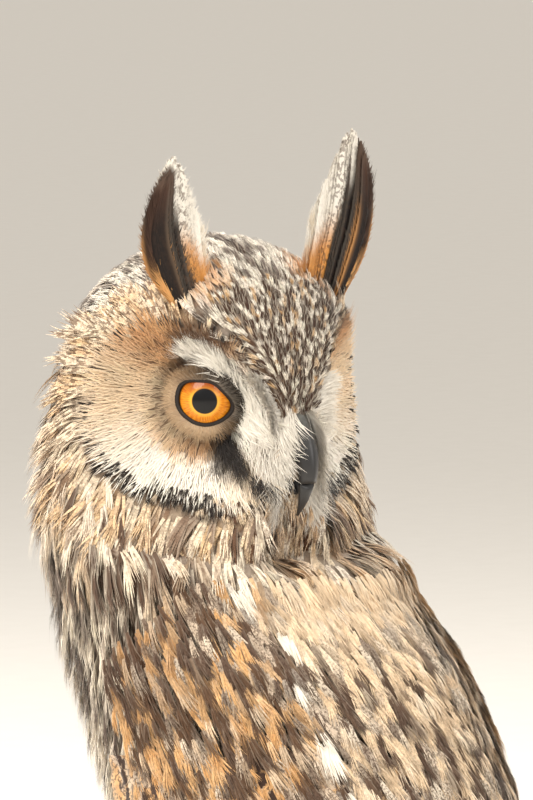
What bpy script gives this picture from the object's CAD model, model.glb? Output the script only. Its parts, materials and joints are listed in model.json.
"""Looks of a life-size long-eared owl: its plumage, eyes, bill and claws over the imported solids.

Design directions are the solids' own: the body faces -Y, its left side is +X, and +Z is up. The head
is described in its own directions, forward -Y and left +X, and then turned over the left shoulder.
Everything is in metres.
"""

import itertools
import json
import logging
import math
import sys
from dataclasses import dataclass, field
from enum import IntEnum
from functools import cache, partial

import bmesh
import bpy
import numpy as np
from mathutils import Matrix, Vector, noise
from mathutils.bvhtree import BVHTree

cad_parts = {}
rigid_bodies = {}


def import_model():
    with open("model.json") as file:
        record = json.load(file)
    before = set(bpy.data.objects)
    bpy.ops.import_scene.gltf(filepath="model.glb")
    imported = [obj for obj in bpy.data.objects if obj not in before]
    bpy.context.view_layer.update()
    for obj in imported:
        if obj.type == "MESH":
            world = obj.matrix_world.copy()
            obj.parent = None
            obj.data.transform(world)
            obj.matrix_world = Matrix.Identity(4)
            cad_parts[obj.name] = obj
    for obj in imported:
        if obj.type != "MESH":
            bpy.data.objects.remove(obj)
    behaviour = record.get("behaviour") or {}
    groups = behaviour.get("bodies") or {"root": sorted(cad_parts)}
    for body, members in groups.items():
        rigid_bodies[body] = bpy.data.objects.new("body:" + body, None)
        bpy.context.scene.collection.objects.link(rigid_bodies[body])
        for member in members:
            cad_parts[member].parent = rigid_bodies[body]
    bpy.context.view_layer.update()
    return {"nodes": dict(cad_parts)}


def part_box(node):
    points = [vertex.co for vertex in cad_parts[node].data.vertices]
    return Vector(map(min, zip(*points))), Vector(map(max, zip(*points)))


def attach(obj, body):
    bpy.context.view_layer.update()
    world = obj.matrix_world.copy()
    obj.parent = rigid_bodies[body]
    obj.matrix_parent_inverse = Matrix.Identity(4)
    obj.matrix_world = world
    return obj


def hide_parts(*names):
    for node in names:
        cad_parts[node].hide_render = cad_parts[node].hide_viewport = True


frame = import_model()

LOG = logging.getLogger("long_eared_owl")
Array = np.ndarray
Colour = tuple[float, float, float]

# Body forms of the solids: height, middle y, half width, half depth
TORSO_SECTIONS = (
    (0.040, 0.030, 0.014, 0.016),
    (0.044, 0.031, 0.024, 0.027),
    (0.056, 0.034, 0.035, 0.039),
    (0.076, 0.037, 0.042, 0.047),
    (0.105, 0.0365, 0.0475, 0.0540),
    (0.135, 0.0305, 0.0495, 0.0595),
    (0.167, 0.0228, 0.0495, 0.0630),
    (0.198, 0.0112, 0.0495, 0.0615),
    (0.222, 0.0010, 0.0500, 0.0598),
    (0.238, -0.0042, 0.0520, 0.0570),
)
WING_SECTIONS = (
    (0.008, 0.1530, 0.023, 0.008),
    (0.030, 0.1385, 0.030, 0.013),
    (0.060, 0.1140, 0.037, 0.021),
    (0.080, 0.0880, 0.0455, 0.034),
    (0.105, 0.0545, 0.0525, 0.0510),
    (0.135, 0.0310, 0.0518, 0.0620),
    (0.167, 0.0228, 0.0514, 0.0649),
    (0.198, 0.0112, 0.0514, 0.0634),
    (0.222, 0.0010, 0.0519, 0.0617),
    (0.238, -0.0042, 0.0539, 0.0589),
)
NECK_HEIGHT = 0.236
UPPER_BREAST = (0.145, 0.165)

# Head and eyes
HEAD_CENTRE = (0.0, -0.0077, 0.2978)
HEAD_TURN = math.radians(154.0)
HEAD_DIP = math.radians(8.0)
HEAD_FLOOR = -0.042
DISC_SIDE_ANGLE = math.radians(38.0)
DISC_DIP = math.radians(-3.0)
DISC_MEAN = math.radians(39.0)
DISC_SKEW = math.radians(13.0)
DISC_SKEW_AT = math.radians(135.0)
EYE_DISTANCE = 0.0277
EYE_RADIUS = 0.0098

# Feet
FOOT_SIDE = 0.0250
FOOT_Y = 0.0180

# Names of the values that the plumage carries from its roots to its finish
VANE = "vane"
TONE = "tone"
INK = "ink"
MARKS = "marks"
CHANCE = "chance"
PATCH = "patch"
BAKE_MAP = "OFBake"
ATTRIBUTE_FIELDS = {
    "FLOAT": "value",
    "INT": "value",
    "FLOAT_VECTOR": "vector",
    "FLOAT_COLOR": "color",
    "FLOAT2": "vector",
    "QUATERNION": "value",
}


def linear(colour: Colour) -> Array:
    """Turn a screen colour, its parts from 0 to 1, into the linear one that shaders take."""
    value = np.asarray(colour, dtype=float)
    return np.where(value <= 0.04045, value / 12.92, ((value + 0.055) / 1.055) ** 2.4)


def unit(vectors: Array) -> Array:
    """Scale rows of three numbers to length one."""
    return vectors / np.maximum(np.linalg.norm(vectors, axis=-1, keepdims=True), 1e-12)


def across_to(vectors: Array, normals: Array) -> Array:
    """Take away the part of vectors along normals of length one, and scale them to length one."""
    return unit(vectors - normals * np.sum(vectors * normals, axis=-1, keepdims=True))


def rise(value: Array, low: float, high: float) -> Array:
    """Rise smoothly from 0 at low to 1 at high, or fall where high is the lesser."""
    t = np.clip((np.asarray(value, dtype=float) - low) / (high - low), 0.0, 1.0)
    return t * t * (3.0 - 2.0 * t)


def blend(first: Array, second: Array, share: Array) -> Array:
    """Mix two sets of rows, the second a single row too, by a share of the second for each row."""
    share = np.asarray(share)[..., None]
    return first * (1.0 - share) + second * share


def as_rows(*parts: Array | float) -> Array:
    """Make rows of values that stand side by side, a single number alike in every row."""
    return np.stack(np.broadcast_arrays(*parts), axis=-1)


def rows_at(at: Array, t: Array, rows: Array) -> Array:
    """Read rows that belong to the rising places t at the places at, in straight lines between."""
    return np.stack([np.interp(at, t, column) for column in rows.T], axis=-1)


def circle(count: int) -> Array:
    """Give evenly spaced angles all the way round."""
    return 2.0 * math.pi * np.arange(count) / count


def smooth_between(x: Array, xs: Array, ys: Array) -> Array:
    """Read the solids' smooth curve through the points (xs, ys).

    Args:
        x: Where to read it.
        xs: Rising places of the points.
        ys: Values at the points.

    Returns:
        The values at x.
    """
    xs = np.asarray(xs, dtype=float)
    ys = np.asarray(ys, dtype=float)
    x = np.clip(x, xs[0], xs[-1])
    steps = np.diff(ys) / np.diff(xs)
    slopes = np.concatenate(([steps[0]], 0.5 * (steps[1:] + steps[:-1]), [steps[-1]]))
    index = np.clip(np.searchsorted(xs, x, side="right") - 1, 0, len(xs) - 2)
    width = xs[index + 1] - xs[index]
    t = (x - xs[index]) / width
    start = (1 + 2 * t) * (1 - t) ** 2 * ys[index] + t * (1 - t) ** 2 * width * slopes[index]
    end = t * t * (3 - 2 * t) * ys[index + 1] + t * t * (t - 1) * width * slopes[index + 1]
    return start + end


def mottle(points: Array, size: float, seed: int) -> Array:
    """Read a smooth noise from about -1 to 1 at places, with lumps about a size apart."""
    places = points / size + 31.7 * seed
    return 1.6 * np.array([noise.noise(Vector(place)) for place in places])


def section_at(sections: tuple, height: Array) -> tuple[Array, Array, Array]:
    """Give a form's middle y, half width and half depth at heights above the floor."""
    columns = np.array(sections).T
    return tuple(smooth_between(height, columns[0], columns[k]) for k in (1, 2, 3))


def point_on(sections: tuple, height: Array, angle: Array, offset: Array | float, side: int) -> Array:
    """Give points of a body form in design directions.

    Args:
        sections: The form's level sections.
        height: Heights above the floor.
        angle: Angles from the breast round the side to the back.
        offset: How far outside the form the points lie.
        side: 1 for the bird's left, -1 for its right.

    Returns:
        Rows of x, y and z.
    """
    middle, half_width, half_depth = section_at(sections, height)
    x = side * (half_width + offset) * np.sin(angle)
    y = middle - (half_depth + offset) * np.cos(angle)
    return as_rows(x, y, height)


class HeadFrame:
    """Carries places between the head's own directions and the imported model's."""

    def __init__(self) -> None:
        """Work out the head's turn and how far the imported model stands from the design."""
        turn = Matrix.Rotation(HEAD_TURN, 4, "Z") @ Matrix.Rotation(HEAD_DIP, 4, "X")
        self.turn = np.array(turn.to_3x3())
        self.shift = np.zeros(3)
        low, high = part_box("eye_left")
        packed = 0.5 * (np.array(low) + np.array(high))
        self.shift = packed - self.place(self.eye(1)[None])[0]
        self.shift[2] = 0.0

    def place(self, points: Array) -> Array:
        """Carry rows from the head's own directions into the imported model."""
        return points @ self.turn.T + np.array(HEAD_CENTRE) + self.shift

    def read(self, points: Array) -> Array:
        """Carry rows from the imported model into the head's own directions."""
        return (points - self.shift - np.array(HEAD_CENTRE)) @ self.turn

    def direct(self, vectors: Array) -> Array:
        """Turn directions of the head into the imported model's."""
        return vectors @ self.turn.T

    @staticmethod
    def axis(side: int) -> Array:
        """Give the direction in which one facial disc looks.

        Args:
            side: 1 for the bird's left, -1 for its right.

        Returns:
            A direction of length one in the head's own directions.
        """
        level = math.cos(DISC_DIP)
        return np.array([side * math.sin(DISC_SIDE_ANGLE) * level, -math.cos(DISC_SIDE_ANGLE) * level,
                         -math.sin(DISC_DIP)])

    def axis_rows(self, sign: Array) -> Array:
        """Give the disc's direction for rows of a side's sign."""
        x, y, z = self.axis(1)
        return as_rows(x * sign, y, z)

    def eye(self, side: int) -> Array:
        """Give the middle of one eye in the head's own directions."""
        return self.axis(side) * EYE_DISTANCE

    def share(self, local: Array) -> tuple[Array, Array]:
        """Tell how far places lie from the middle of the disc on their side of the face.

        Args:
            local: Rows in the head's own directions.

        Returns:
            The share of the way to the disc's rim, and the angle round the disc, 0 outward and
            a quarter turn upward.
        """
        direction = unit(local)
        side = np.where(local[:, 0] >= 0.0, 1.0, -1.0)
        away = np.arccos(np.clip(np.sum(self.axis_rows(side) * direction, axis=-1), -1.0, 1.0))
        outward = direction[:, 0] * side * math.cos(DISC_SIDE_ANGLE)
        outward = outward + direction[:, 1] * math.sin(DISC_SIDE_ANGLE)
        around = np.arctan2(direction[:, 2], outward)
        edge = DISC_MEAN - DISC_SKEW * np.cos(around - DISC_SKEW_AT)
        return away / edge, around


HEAD = HeadFrame()


class Zone(IntEnum):
    """Kinds of plumage, each with its own size and lie."""

    BODY = 0
    NECK = 1
    CROWN = 2
    FOREHEAD = 3
    RUFF = 4
    RIM = 5
    DISC = 6
    LEG = 7
    FOOT = 8
    BARE = 9


class Plumage:
    """Says of any place on the bird which feathers grow there, how they lie and how they are marked."""

    cream = linear((0.97, 0.92, 0.84))
    white = linear((0.99, 0.97, 0.93))
    buff = linear((0.91, 0.76, 0.56))
    tawny = linear((0.84, 0.60, 0.36))
    gold = linear((0.88, 0.60, 0.28))
    dark = linear((0.25, 0.17, 0.13))
    black = linear((0.12, 0.09, 0.08))
    grey = linear((0.58, 0.51, 0.45))
    ash = linear((0.86, 0.80, 0.73))
    brown = linear((0.47, 0.34, 0.25))
    leg_below = 0.056
    foot_below = 0.017
    rim_half = 0.035
    brow_line = np.array([(0.0040, -0.0300), (0.0075, -0.0120), (0.0102, 0.0005), (0.0160, 0.0108),
                          (0.0240, 0.0165)])

    @staticmethod
    def rim_at(around: Array) -> Array:
        """Give the share of a disc's reach at which its dark rim runs, for angles round the disc."""
        return 0.99 - 0.18 * np.exp(-(((np.degrees(around) + 75.0) / 50.0) ** 2))

    def from_brow(self, local: Array) -> Array:
        """Give the distance of places on the face from the middle line of the white brow."""
        flat = np.stack((np.abs(local[:, 0]), local[:, 2]), axis=-1)
        least = np.full(len(flat), 1.0)
        for a, b in zip(self.brow_line[:-1], self.brow_line[1:]):
            along = b - a
            t = np.clip((flat - a) @ along / (along @ along), 0.0, 1.0)
            least = np.minimum(least, np.linalg.norm(flat - a - t[:, None] * along, axis=-1))
        return least

    def zones(self, points: Array) -> Array:
        """Tell the kind of plumage at places on the skin.

        Args:
            points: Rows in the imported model.

        Returns:
            One Zone value for each row.
        """
        local = HEAD.read(points)
        share, around = HEAD.share(local)
        rim = self.rim_at(around)
        height = points[:, 2]
        zone = np.full(len(points), Zone.BODY)
        zone[height < self.leg_below] = Zone.LEG
        zone[height < self.foot_below] = Zone.FOOT
        zone[height > NECK_HEIGHT] = Zone.NECK
        head = (local[:, 2] > HEAD_FLOOR + 0.002) & (height > NECK_HEIGHT)
        zone[head] = Zone.CROWN
        nape = (local[:, 1] > 0.012) & (local[:, 2] < 0.008)
        zone[head & (nape | (local[:, 2] < -0.030))] = Zone.NECK
        top = (np.abs(local[:, 0]) < 0.026) & (local[:, 2] > 0.016)
        zone[head & ~top & (share < 1.40) & (share >= rim + self.rim_half)] = Zone.RUFF
        narrow = np.abs(local[:, 0]) < 0.0078 + 0.40 * np.clip(local[:, 2], -0.004, 0.036)
        forehead = head & (local[:, 1] < -0.026) & narrow & (local[:, 2] > -0.002)
        zone[forehead & (share >= 0.80)] = Zone.FOREHEAD
        on_rim = (share < rim + self.rim_half) & (share >= rim - self.rim_half)
        zone[head & on_rim & ~forehead] = Zone.RIM
        zone[head & (share < rim - self.rim_half)] = Zone.DISC
        for side in (1, -1):
            near = np.linalg.norm(local - HEAD.eye(side), axis=-1)
            zone[near < EYE_RADIUS + 0.0016] = Zone.BARE
        return zone

    def flow(self, points: Array, normals: Array, zone: Array) -> Array:
        """Give the way in which feathers point at places on the skin.

        Args:
            points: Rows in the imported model.
            normals: The skin's outward directions there.
            zone: The kind of plumage there.

        Returns:
            Directions of length one that lie in the skin.
        """
        local = HEAD.read(points)
        inner = normals @ HEAD.turn
        source = np.array([0.0, -1.0, -0.30])
        away = across_to(np.broadcast_to(-source, local.shape), inner)
        fall = np.array([0.0, 0.15, -1.0])
        back = rise(local[:, 1], -0.012, 0.030)
        side = rise(np.abs(local[:, 0]), 0.030, 0.050) * rise(local[:, 2], 0.030, 0.0)
        head = blend(away, np.broadcast_to(fall, away.shape), np.maximum(back, side))
        sign = np.where(local[:, 0] >= 0.0, 1.0, -1.0)
        radial = across_to(local - HEAD.axis_rows(sign) * EYE_DISTANCE, inner)
        is_disc = (zone == Zone.DISC) | (zone == Zone.RIM)
        head = np.where(is_disc[:, None], radial, head)
        low = rise(local[:, 2], 0.020, -0.030)
        head = np.where((zone == Zone.RUFF)[:, None],
                        blend(radial, fall, 0.15 + 0.45 * low), head)
        # The brow's feathers sweep up and out over the eye
        brow = rise(self.from_brow(local), 0.0065, 0.0030) * rise(local[:, 2], -0.004, 0.004)
        brow = brow * (is_disc | (zone == Zone.FOREHEAD)) * (local[:, 1] < -0.010)
        sweep = as_rows(0.85 * sign, 0.15, 0.80)
        head = blend(head, across_to(sweep, inner), brow)
        down = np.array([0.0, 0.22, -1.0])
        body = np.broadcast_to(down, points.shape).copy()
        # Toes: away from the ankle, level with the floor
        foot = zone == Zone.FOOT
        design = points[foot] - HEAD.shift
        body[foot] = as_rows(design[:, 0] - FOOT_SIDE * np.sign(design[:, 0]), design[:, 1] - FOOT_Y, -0.004)
        on_head = np.isin(zone, [Zone.CROWN, Zone.FOREHEAD, Zone.RUFF,
                                 Zone.RIM, Zone.DISC, Zone.BARE])
        lie = np.where(on_head[:, None], HEAD.direct(head), body)
        return across_to(lie, normals)

    def spacing(self, zone: Array, height: Array) -> Array:
        """Give the distance between feather roots for each kind of plumage and its height."""
        table = {
            Zone.BODY: 0.0050, Zone.NECK: 0.0030, Zone.CROWN: 0.0018, Zone.FOREHEAD: 0.0012,
            Zone.RUFF: 0.0022, Zone.RIM: 0.0015, Zone.DISC: 0.0016, Zone.LEG: 0.0036,
            Zone.FOOT: 0.0023, Zone.BARE: 0.05,
        }
        sizes = np.array([table[kind] for kind in Zone])
        closer = (zone == Zone.BODY) * rise(height, *UPPER_BREAST)
        return sizes[zone] * (1.0 - 0.38 * closer)

    def markings(self, points: Array, zone: Array, seed: int) -> tuple[Array, Array, Array]:
        """Give the colours and marks of feathers, or of the skin, at places on the bird.

        Args:
            points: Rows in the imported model.
            zone: The kind of plumage there.
            seed: Seed of the small differences between feathers.

        Returns:
            Ground colour with the strength of its pale edge, mark colour with a spare 0, and the
            width of the shaft streak, strength of bars and of speckles.
        """
        draw = np.random.default_rng(seed)
        count = len(points)
        rows = {
            "ground": np.tile(self.cream, (count, 1)), "ink": np.tile(self.dark, (count, 1)),
            "edge": np.full(count, 0.35), "streak": np.full(count, 0.34),
            "bars": np.full(count, 0.15), "speck": np.full(count, 0.10),
        }
        self.mark_body(rows, points, zone)
        self.mark_head(rows, points, zone, draw)
        self.mark_face(rows, points, zone, draw)
        ground = rows["ground"] * (1.0 + 0.14 * (draw.random((count, 1)) - 0.5))
        ground = ground * (1.0 + 0.03 * (draw.random((count, 3)) - 0.5))
        streak = rows["streak"] * (0.7 + 0.6 * draw.random(count))
        ink = rows["ink"] * (0.8 + 0.4 * draw.random((count, 1)))
        return (np.column_stack((np.clip(ground, 0.0, 1.0), rows["edge"])),
                np.column_stack((ink, np.zeros(count))),
                as_rows(streak, rows["bars"], rows["speck"]))

    @staticmethod
    def paint(rows: dict, where: Array, **values: Array | float) -> None:
        """Set colours and strengths where a mask is true, each given once or for all places."""
        for name, value in values.items():
            rows[name][where] = np.broadcast_to(value, rows[name].shape)[where]

    def mark_body(self, rows: dict, points: Array, zone: Array) -> None:
        """Mark the cream breast, buff belly, mottled back, neck and legs.

        Args:
            rows: Colours and strengths, changed in place.
            points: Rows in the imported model.
            zone: The kind of plumage there.
        """
        design = points - HEAD.shift
        height = design[:, 2]
        middle = section_at(TORSO_SECTIONS, height)[0]
        angle = np.degrees(np.arctan2(np.abs(design[:, 0]), -(design[:, 1] - middle)))
        back = rise(angle, 95.0, 125.0)
        patchy = mottle(points, 0.0085, 1)
        ground = blend(rows["ground"], self.buff, 0.65 * rise(height, 0.15, 0.08))
        ground = blend(ground, 0.75 * self.buff + 0.25 * self.cream,
                       0.8 * back * rise(patchy, -0.5, 0.4))
        rows["ground"] = ground
        rows["speck"] = rows["speck"] + 0.60 * back
        rows["bars"] = rows["bars"] + 0.20 * back + 0.35 * rise(height, 0.15, 0.10) * (1.0 - back)
        rows["streak"] = 0.10 + 0.18 * back
        neck = zone == Zone.NECK
        tone = blend(rows["ground"], 0.5 * self.tawny + 0.5 * self.buff, 0.45 * rise(patchy, 0.0, 0.5))
        self.paint(rows, neck, ground=tone)
        drawn_out = points * np.array([1.0, 1.0, 0.34])
        dashes = rise(mottle(drawn_out, 0.0036, 5), 0.24, 0.34) * (1.0 - back)
        dashes = dashes * rise(height, 0.060, 0.090)
        blotches = rise(mottle(points * np.array([1.0, 1.0, 0.6]), 0.0070, 6), 0.20, 0.42)
        dashes = np.maximum(dashes, 0.8 * blotches * rise(height, 0.205, 0.225) * (1.0 - back))
        rows["ground"] = blend(rows["ground"], 0.20 * self.brown + 0.80 * self.dark, 0.94 * dashes)
        self.paint(rows, neck, ink=0.55 * self.dark + 0.45 * self.brown, streak=0.06, speck=0.25)
        legs = (zone == Zone.LEG) | (zone == Zone.FOOT)
        self.paint(rows, legs, ground=0.7 * self.buff + 0.3 * self.cream, streak=0.0, bars=0.0,
                   speck=0.0)

    def mark_head(self, rows: dict, points: Array, zone: Array, draw: np.random.Generator) -> None:
        """Mark crown, nape, forehead and the ruff round the discs.

        Args:
            rows: Colours and strengths, changed in place.
            points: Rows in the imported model.
            zone: The kind of plumage there.
            draw: Source of the small differences.
        """
        local = HEAD.read(points)
        around = HEAD.share(local)[1]
        count = len(points)
        chance = draw.random(count)
        crown = zone == Zone.CROWN
        blotch = mottle(local * np.array([1.0, 0.55, 0.55]), 0.0034, 2) + 0.5 * mottle(local, 0.0016, 3)
        blotch = blotch + 0.25 * rise(np.abs(local[:, 0]), 0.0060, 0.0020) * (local[:, 2] > 0.025)
        nape = rise(local[:, 1], 0.005, 0.035)
        pale = 0.45 * self.cream + 0.50 * self.white + 0.05 * self.grey
        tone = blend(np.tile(pale, (count, 1)), 0.55 * self.buff + 0.45 * self.cream, nape)
        tone = blend(tone, 1.3 * self.dark, 0.85 * rise(blotch, 0.14, 0.32))
        for high in (0.0440, 0.0350):
            near = np.hypot(local[:, 0] / 0.0026, (local[:, 2] - high) / 0.0030)
            near = near + 0.5 * mottle(local, 0.0020, 9)
            tone = blend(tone, 1.2 * self.dark, 0.9 * rise(near, 1.25, 0.85) * (local[:, 1] < 0.0))
        base = np.array([0.0205, -0.0215, 0.0380])
        folded = np.column_stack((np.abs(local[:, 0]), local[:, 1], local[:, 2]))
        aside = np.linalg.norm(folded - base, axis=-1)
        golden = rise(aside, 0.0130, 0.0060) * (np.abs(local[:, 0]) < 0.030)
        tone = blend(tone, self.gold, 0.65 * golden * rise(chance, 0.1, 0.5))
        self.paint(rows, crown, ground=tone, streak=0.0, speck=0.42 - 0.3 * golden, edge=0.30,
                   bars=0.25)
        front = zone == Zone.FOREHEAD
        pepper = blend(np.tile(0.55 * self.cream + 0.45 * self.white, (count, 1)),
                       1.3 * self.dark, rise(chance, 0.32, 0.44))
        pepper = blend(pepper, 0.3 * self.tawny + 0.7 * self.buff,
                       0.7 * (draw.random(count) < 0.14))
        self.paint(rows, front, ground=pepper, streak=0.0, speck=0.35, bars=0.10, edge=0.45)
        ruff = zone == Zone.RUFF
        low = rise(local[:, 2], 0.0, -0.022)
        tone = blend(np.tile(0.30 * self.buff + 0.70 * self.cream, (count, 1)),
                     0.9 * self.buff + 0.1 * self.tawny,
                     0.70 * rise(mottle(points, 0.006, 4), 0.0, 0.4))
        tone = blend(tone, 0.7 * self.brown + 0.3 * self.dark,
                     0.8 * low * rise(mottle(local, 0.0050, 8), 0.15, 0.35))
        self.paint(rows, ruff, ground=tone, ink=0.35 * self.dark + 0.65 * self.brown, streak=0.06,
                   bars=0.75 - 0.35 * low, speck=0.25, edge=0.15)
        rim = zone == Zone.RIM
        strong = 0.45 + 0.52 * np.exp(-(((np.degrees(around) + 65.0) / 60.0) ** 2))
        tone = blend(np.tile(0.6 * self.cream + 0.4 * self.buff, (count, 1)),
                     1.2 * self.black, rise(strong - chance, -0.06, 0.06))
        self.paint(rows, rim, ground=tone, ink=self.black, streak=0.0, speck=0.30, bars=0.0, edge=0.12)

    def mark_face(self, rows: dict, points: Array, zone: Array, draw: np.random.Generator) -> None:
        """Mark the discs, brows, the dark patches by the eyes, and the throat.

        Args:
            rows: Colours and strengths, changed in place.
            points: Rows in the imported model.
            zone: The kind of plumage there.
            draw: Source of the small differences.
        """
        local = HEAD.read(points)
        share, around = HEAD.share(local)
        degrees = np.degrees(around)
        count = len(points)
        sign = np.where(local[:, 0] >= 0.0, 1.0, -1.0)
        from_eye = local - HEAD.axis_rows(sign) * EYE_DISTANCE
        reach = np.linalg.norm(from_eye, axis=-1)
        tone = np.tile(0.55 * self.buff + 0.45 * self.cream, (count, 1))
        tone = blend(tone, 0.5 * self.grey + 0.5 * self.cream,
                     0.45 * rise(share, 0.72, 0.95) * rise(draw.random(count), 0.2, 0.8))
        upper = rise(degrees, 15.0, 50.0) * rise(degrees, 140.0, 95.0)
        tone = blend(tone, self.tawny, 0.75 * upper * rise(share, 0.40, 0.60))
        under = np.exp(-(((degrees + 95.0) / 42.0) ** 2))
        tone = blend(tone, self.tawny,
                     0.70 * under * rise(share, 0.40, 0.50) * rise(share, 0.68, 0.58))
        crescent = np.exp(-(((degrees + 72.0) / 52.0) ** 4)) * rise(share, 0.58, 0.68)
        tone = blend(tone, self.white, 0.95 * crescent)
        dusky = rise(degrees, 45.0, 70.0) * rise(degrees, 135.0, 100.0) * rise(share, 0.74, 0.92)
        tone = blend(tone, 1.6 * self.dark, dusky * rise(draw.random(count), 0.15, 0.75))
        inward = rise(-from_eye[:, 0] * sign, -0.003, 0.005)
        shade = rise(reach, 0.0178, 0.0128) * np.maximum(0.35, inward)
        shade = np.maximum(shade, 0.30 * rise(reach, 0.0122, 0.0108))
        streak_line = rise(np.abs(np.abs(local[:, 0]) - 0.0140), 0.0042, 0.0018)
        streak_line = streak_line * rise(local[:, 2], -0.022, -0.016) * rise(local[:, 2], -0.002, -0.008)
        shade = np.maximum(shade, 0.95 * streak_line)
        tone = blend(tone, 1.1 * self.black, 0.92 * shade)
        flat = np.stack((np.abs(local[:, 0]), local[:, 2]), axis=-1)
        corner = np.linalg.norm((flat - np.array([0.0235, 0.0225])) * np.array([1.0, 0.75]), axis=-1)
        tone = blend(tone, 0.7 * self.dark + 0.3 * self.brown, 0.85 * rise(corner, 0.0085, 0.0035))
        lid = rise(reach, 0.0165, 0.0130) * rise(degrees, 20.0, 60.0) * rise(degrees, 190.0, 150.0)
        tone = blend(tone, 0.9 * self.black, 0.85 * lid)
        brow = rise(self.from_brow(local), 0.0046, 0.0028) * (local[:, 1] < -0.010)
        brow = brow * rise(local[:, 2], -0.034, -0.024)
        tone = blend(tone, self.white, 0.97 * brow)
        self.paint(rows, zone == Zone.DISC, ground=tone, streak=0.0, bars=0.0, speck=0.30 * upper,
                   edge=0.1)
        self.paint(rows, (zone == Zone.RIM) & (brow > 0.4), ground=self.white)
        # Chin and throat under the bill
        throat = (np.abs(local[:, 0]) < 0.019) & (local[:, 2] < -0.027) & (local[:, 1] < -0.01)
        throat &= np.isin(zone, [Zone.RIM, Zone.DISC, Zone.RUFF])
        mix = draw.random(count)
        spots = blend(np.tile(0.50 * self.buff + 0.35 * self.cream + 0.15 * self.grey, (count, 1)),
                      0.5 * self.dark + 0.5 * self.brown, rise(mix, 0.42, 0.55))
        spots = blend(spots, self.cream, rise(mix, 0.80, 0.84))
        self.paint(rows, throat, ground=spots, speck=0.6)


PLUMAGE = Plumage()


class Unwrap:
    """Lays the skin's own shape flat, for the places of the baked colours."""

    @staticmethod
    def lay(points: Array) -> Array:
        """Give a place on the flat map for each place on the bird.

        Args:
            points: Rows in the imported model.

        Returns:
            Rows of two numbers from 0 to 1: the head fills the upper half, the body the lower.
        """
        local = HEAD.read(points)
        direction = unit(local)
        turn = np.arctan2(direction[:, 0], -direction[:, 1]) / (2.0 * math.pi) + 0.5
        climb = (direction[:, 2] + 1.0) / 2.0
        head = np.stack((0.02 + 0.96 * turn, 0.52 + 0.46 * climb), axis=-1)
        design = points - HEAD.shift
        middle = section_at(TORSO_SECTIONS, design[:, 2])[0]
        bearing = np.arctan2(design[:, 0], -(design[:, 1] - middle)) / (2.0 * math.pi) + 0.5
        body = np.stack((0.02 + 0.96 * bearing, 0.02 + 1.8 * design[:, 2]), axis=-1)
        is_head = (local[:, 2] > HEAD_FLOOR) & (points[:, 2] > NECK_HEIGHT)
        return np.where(is_head[:, None], head, np.clip(body, 0.01, 0.49))


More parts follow.
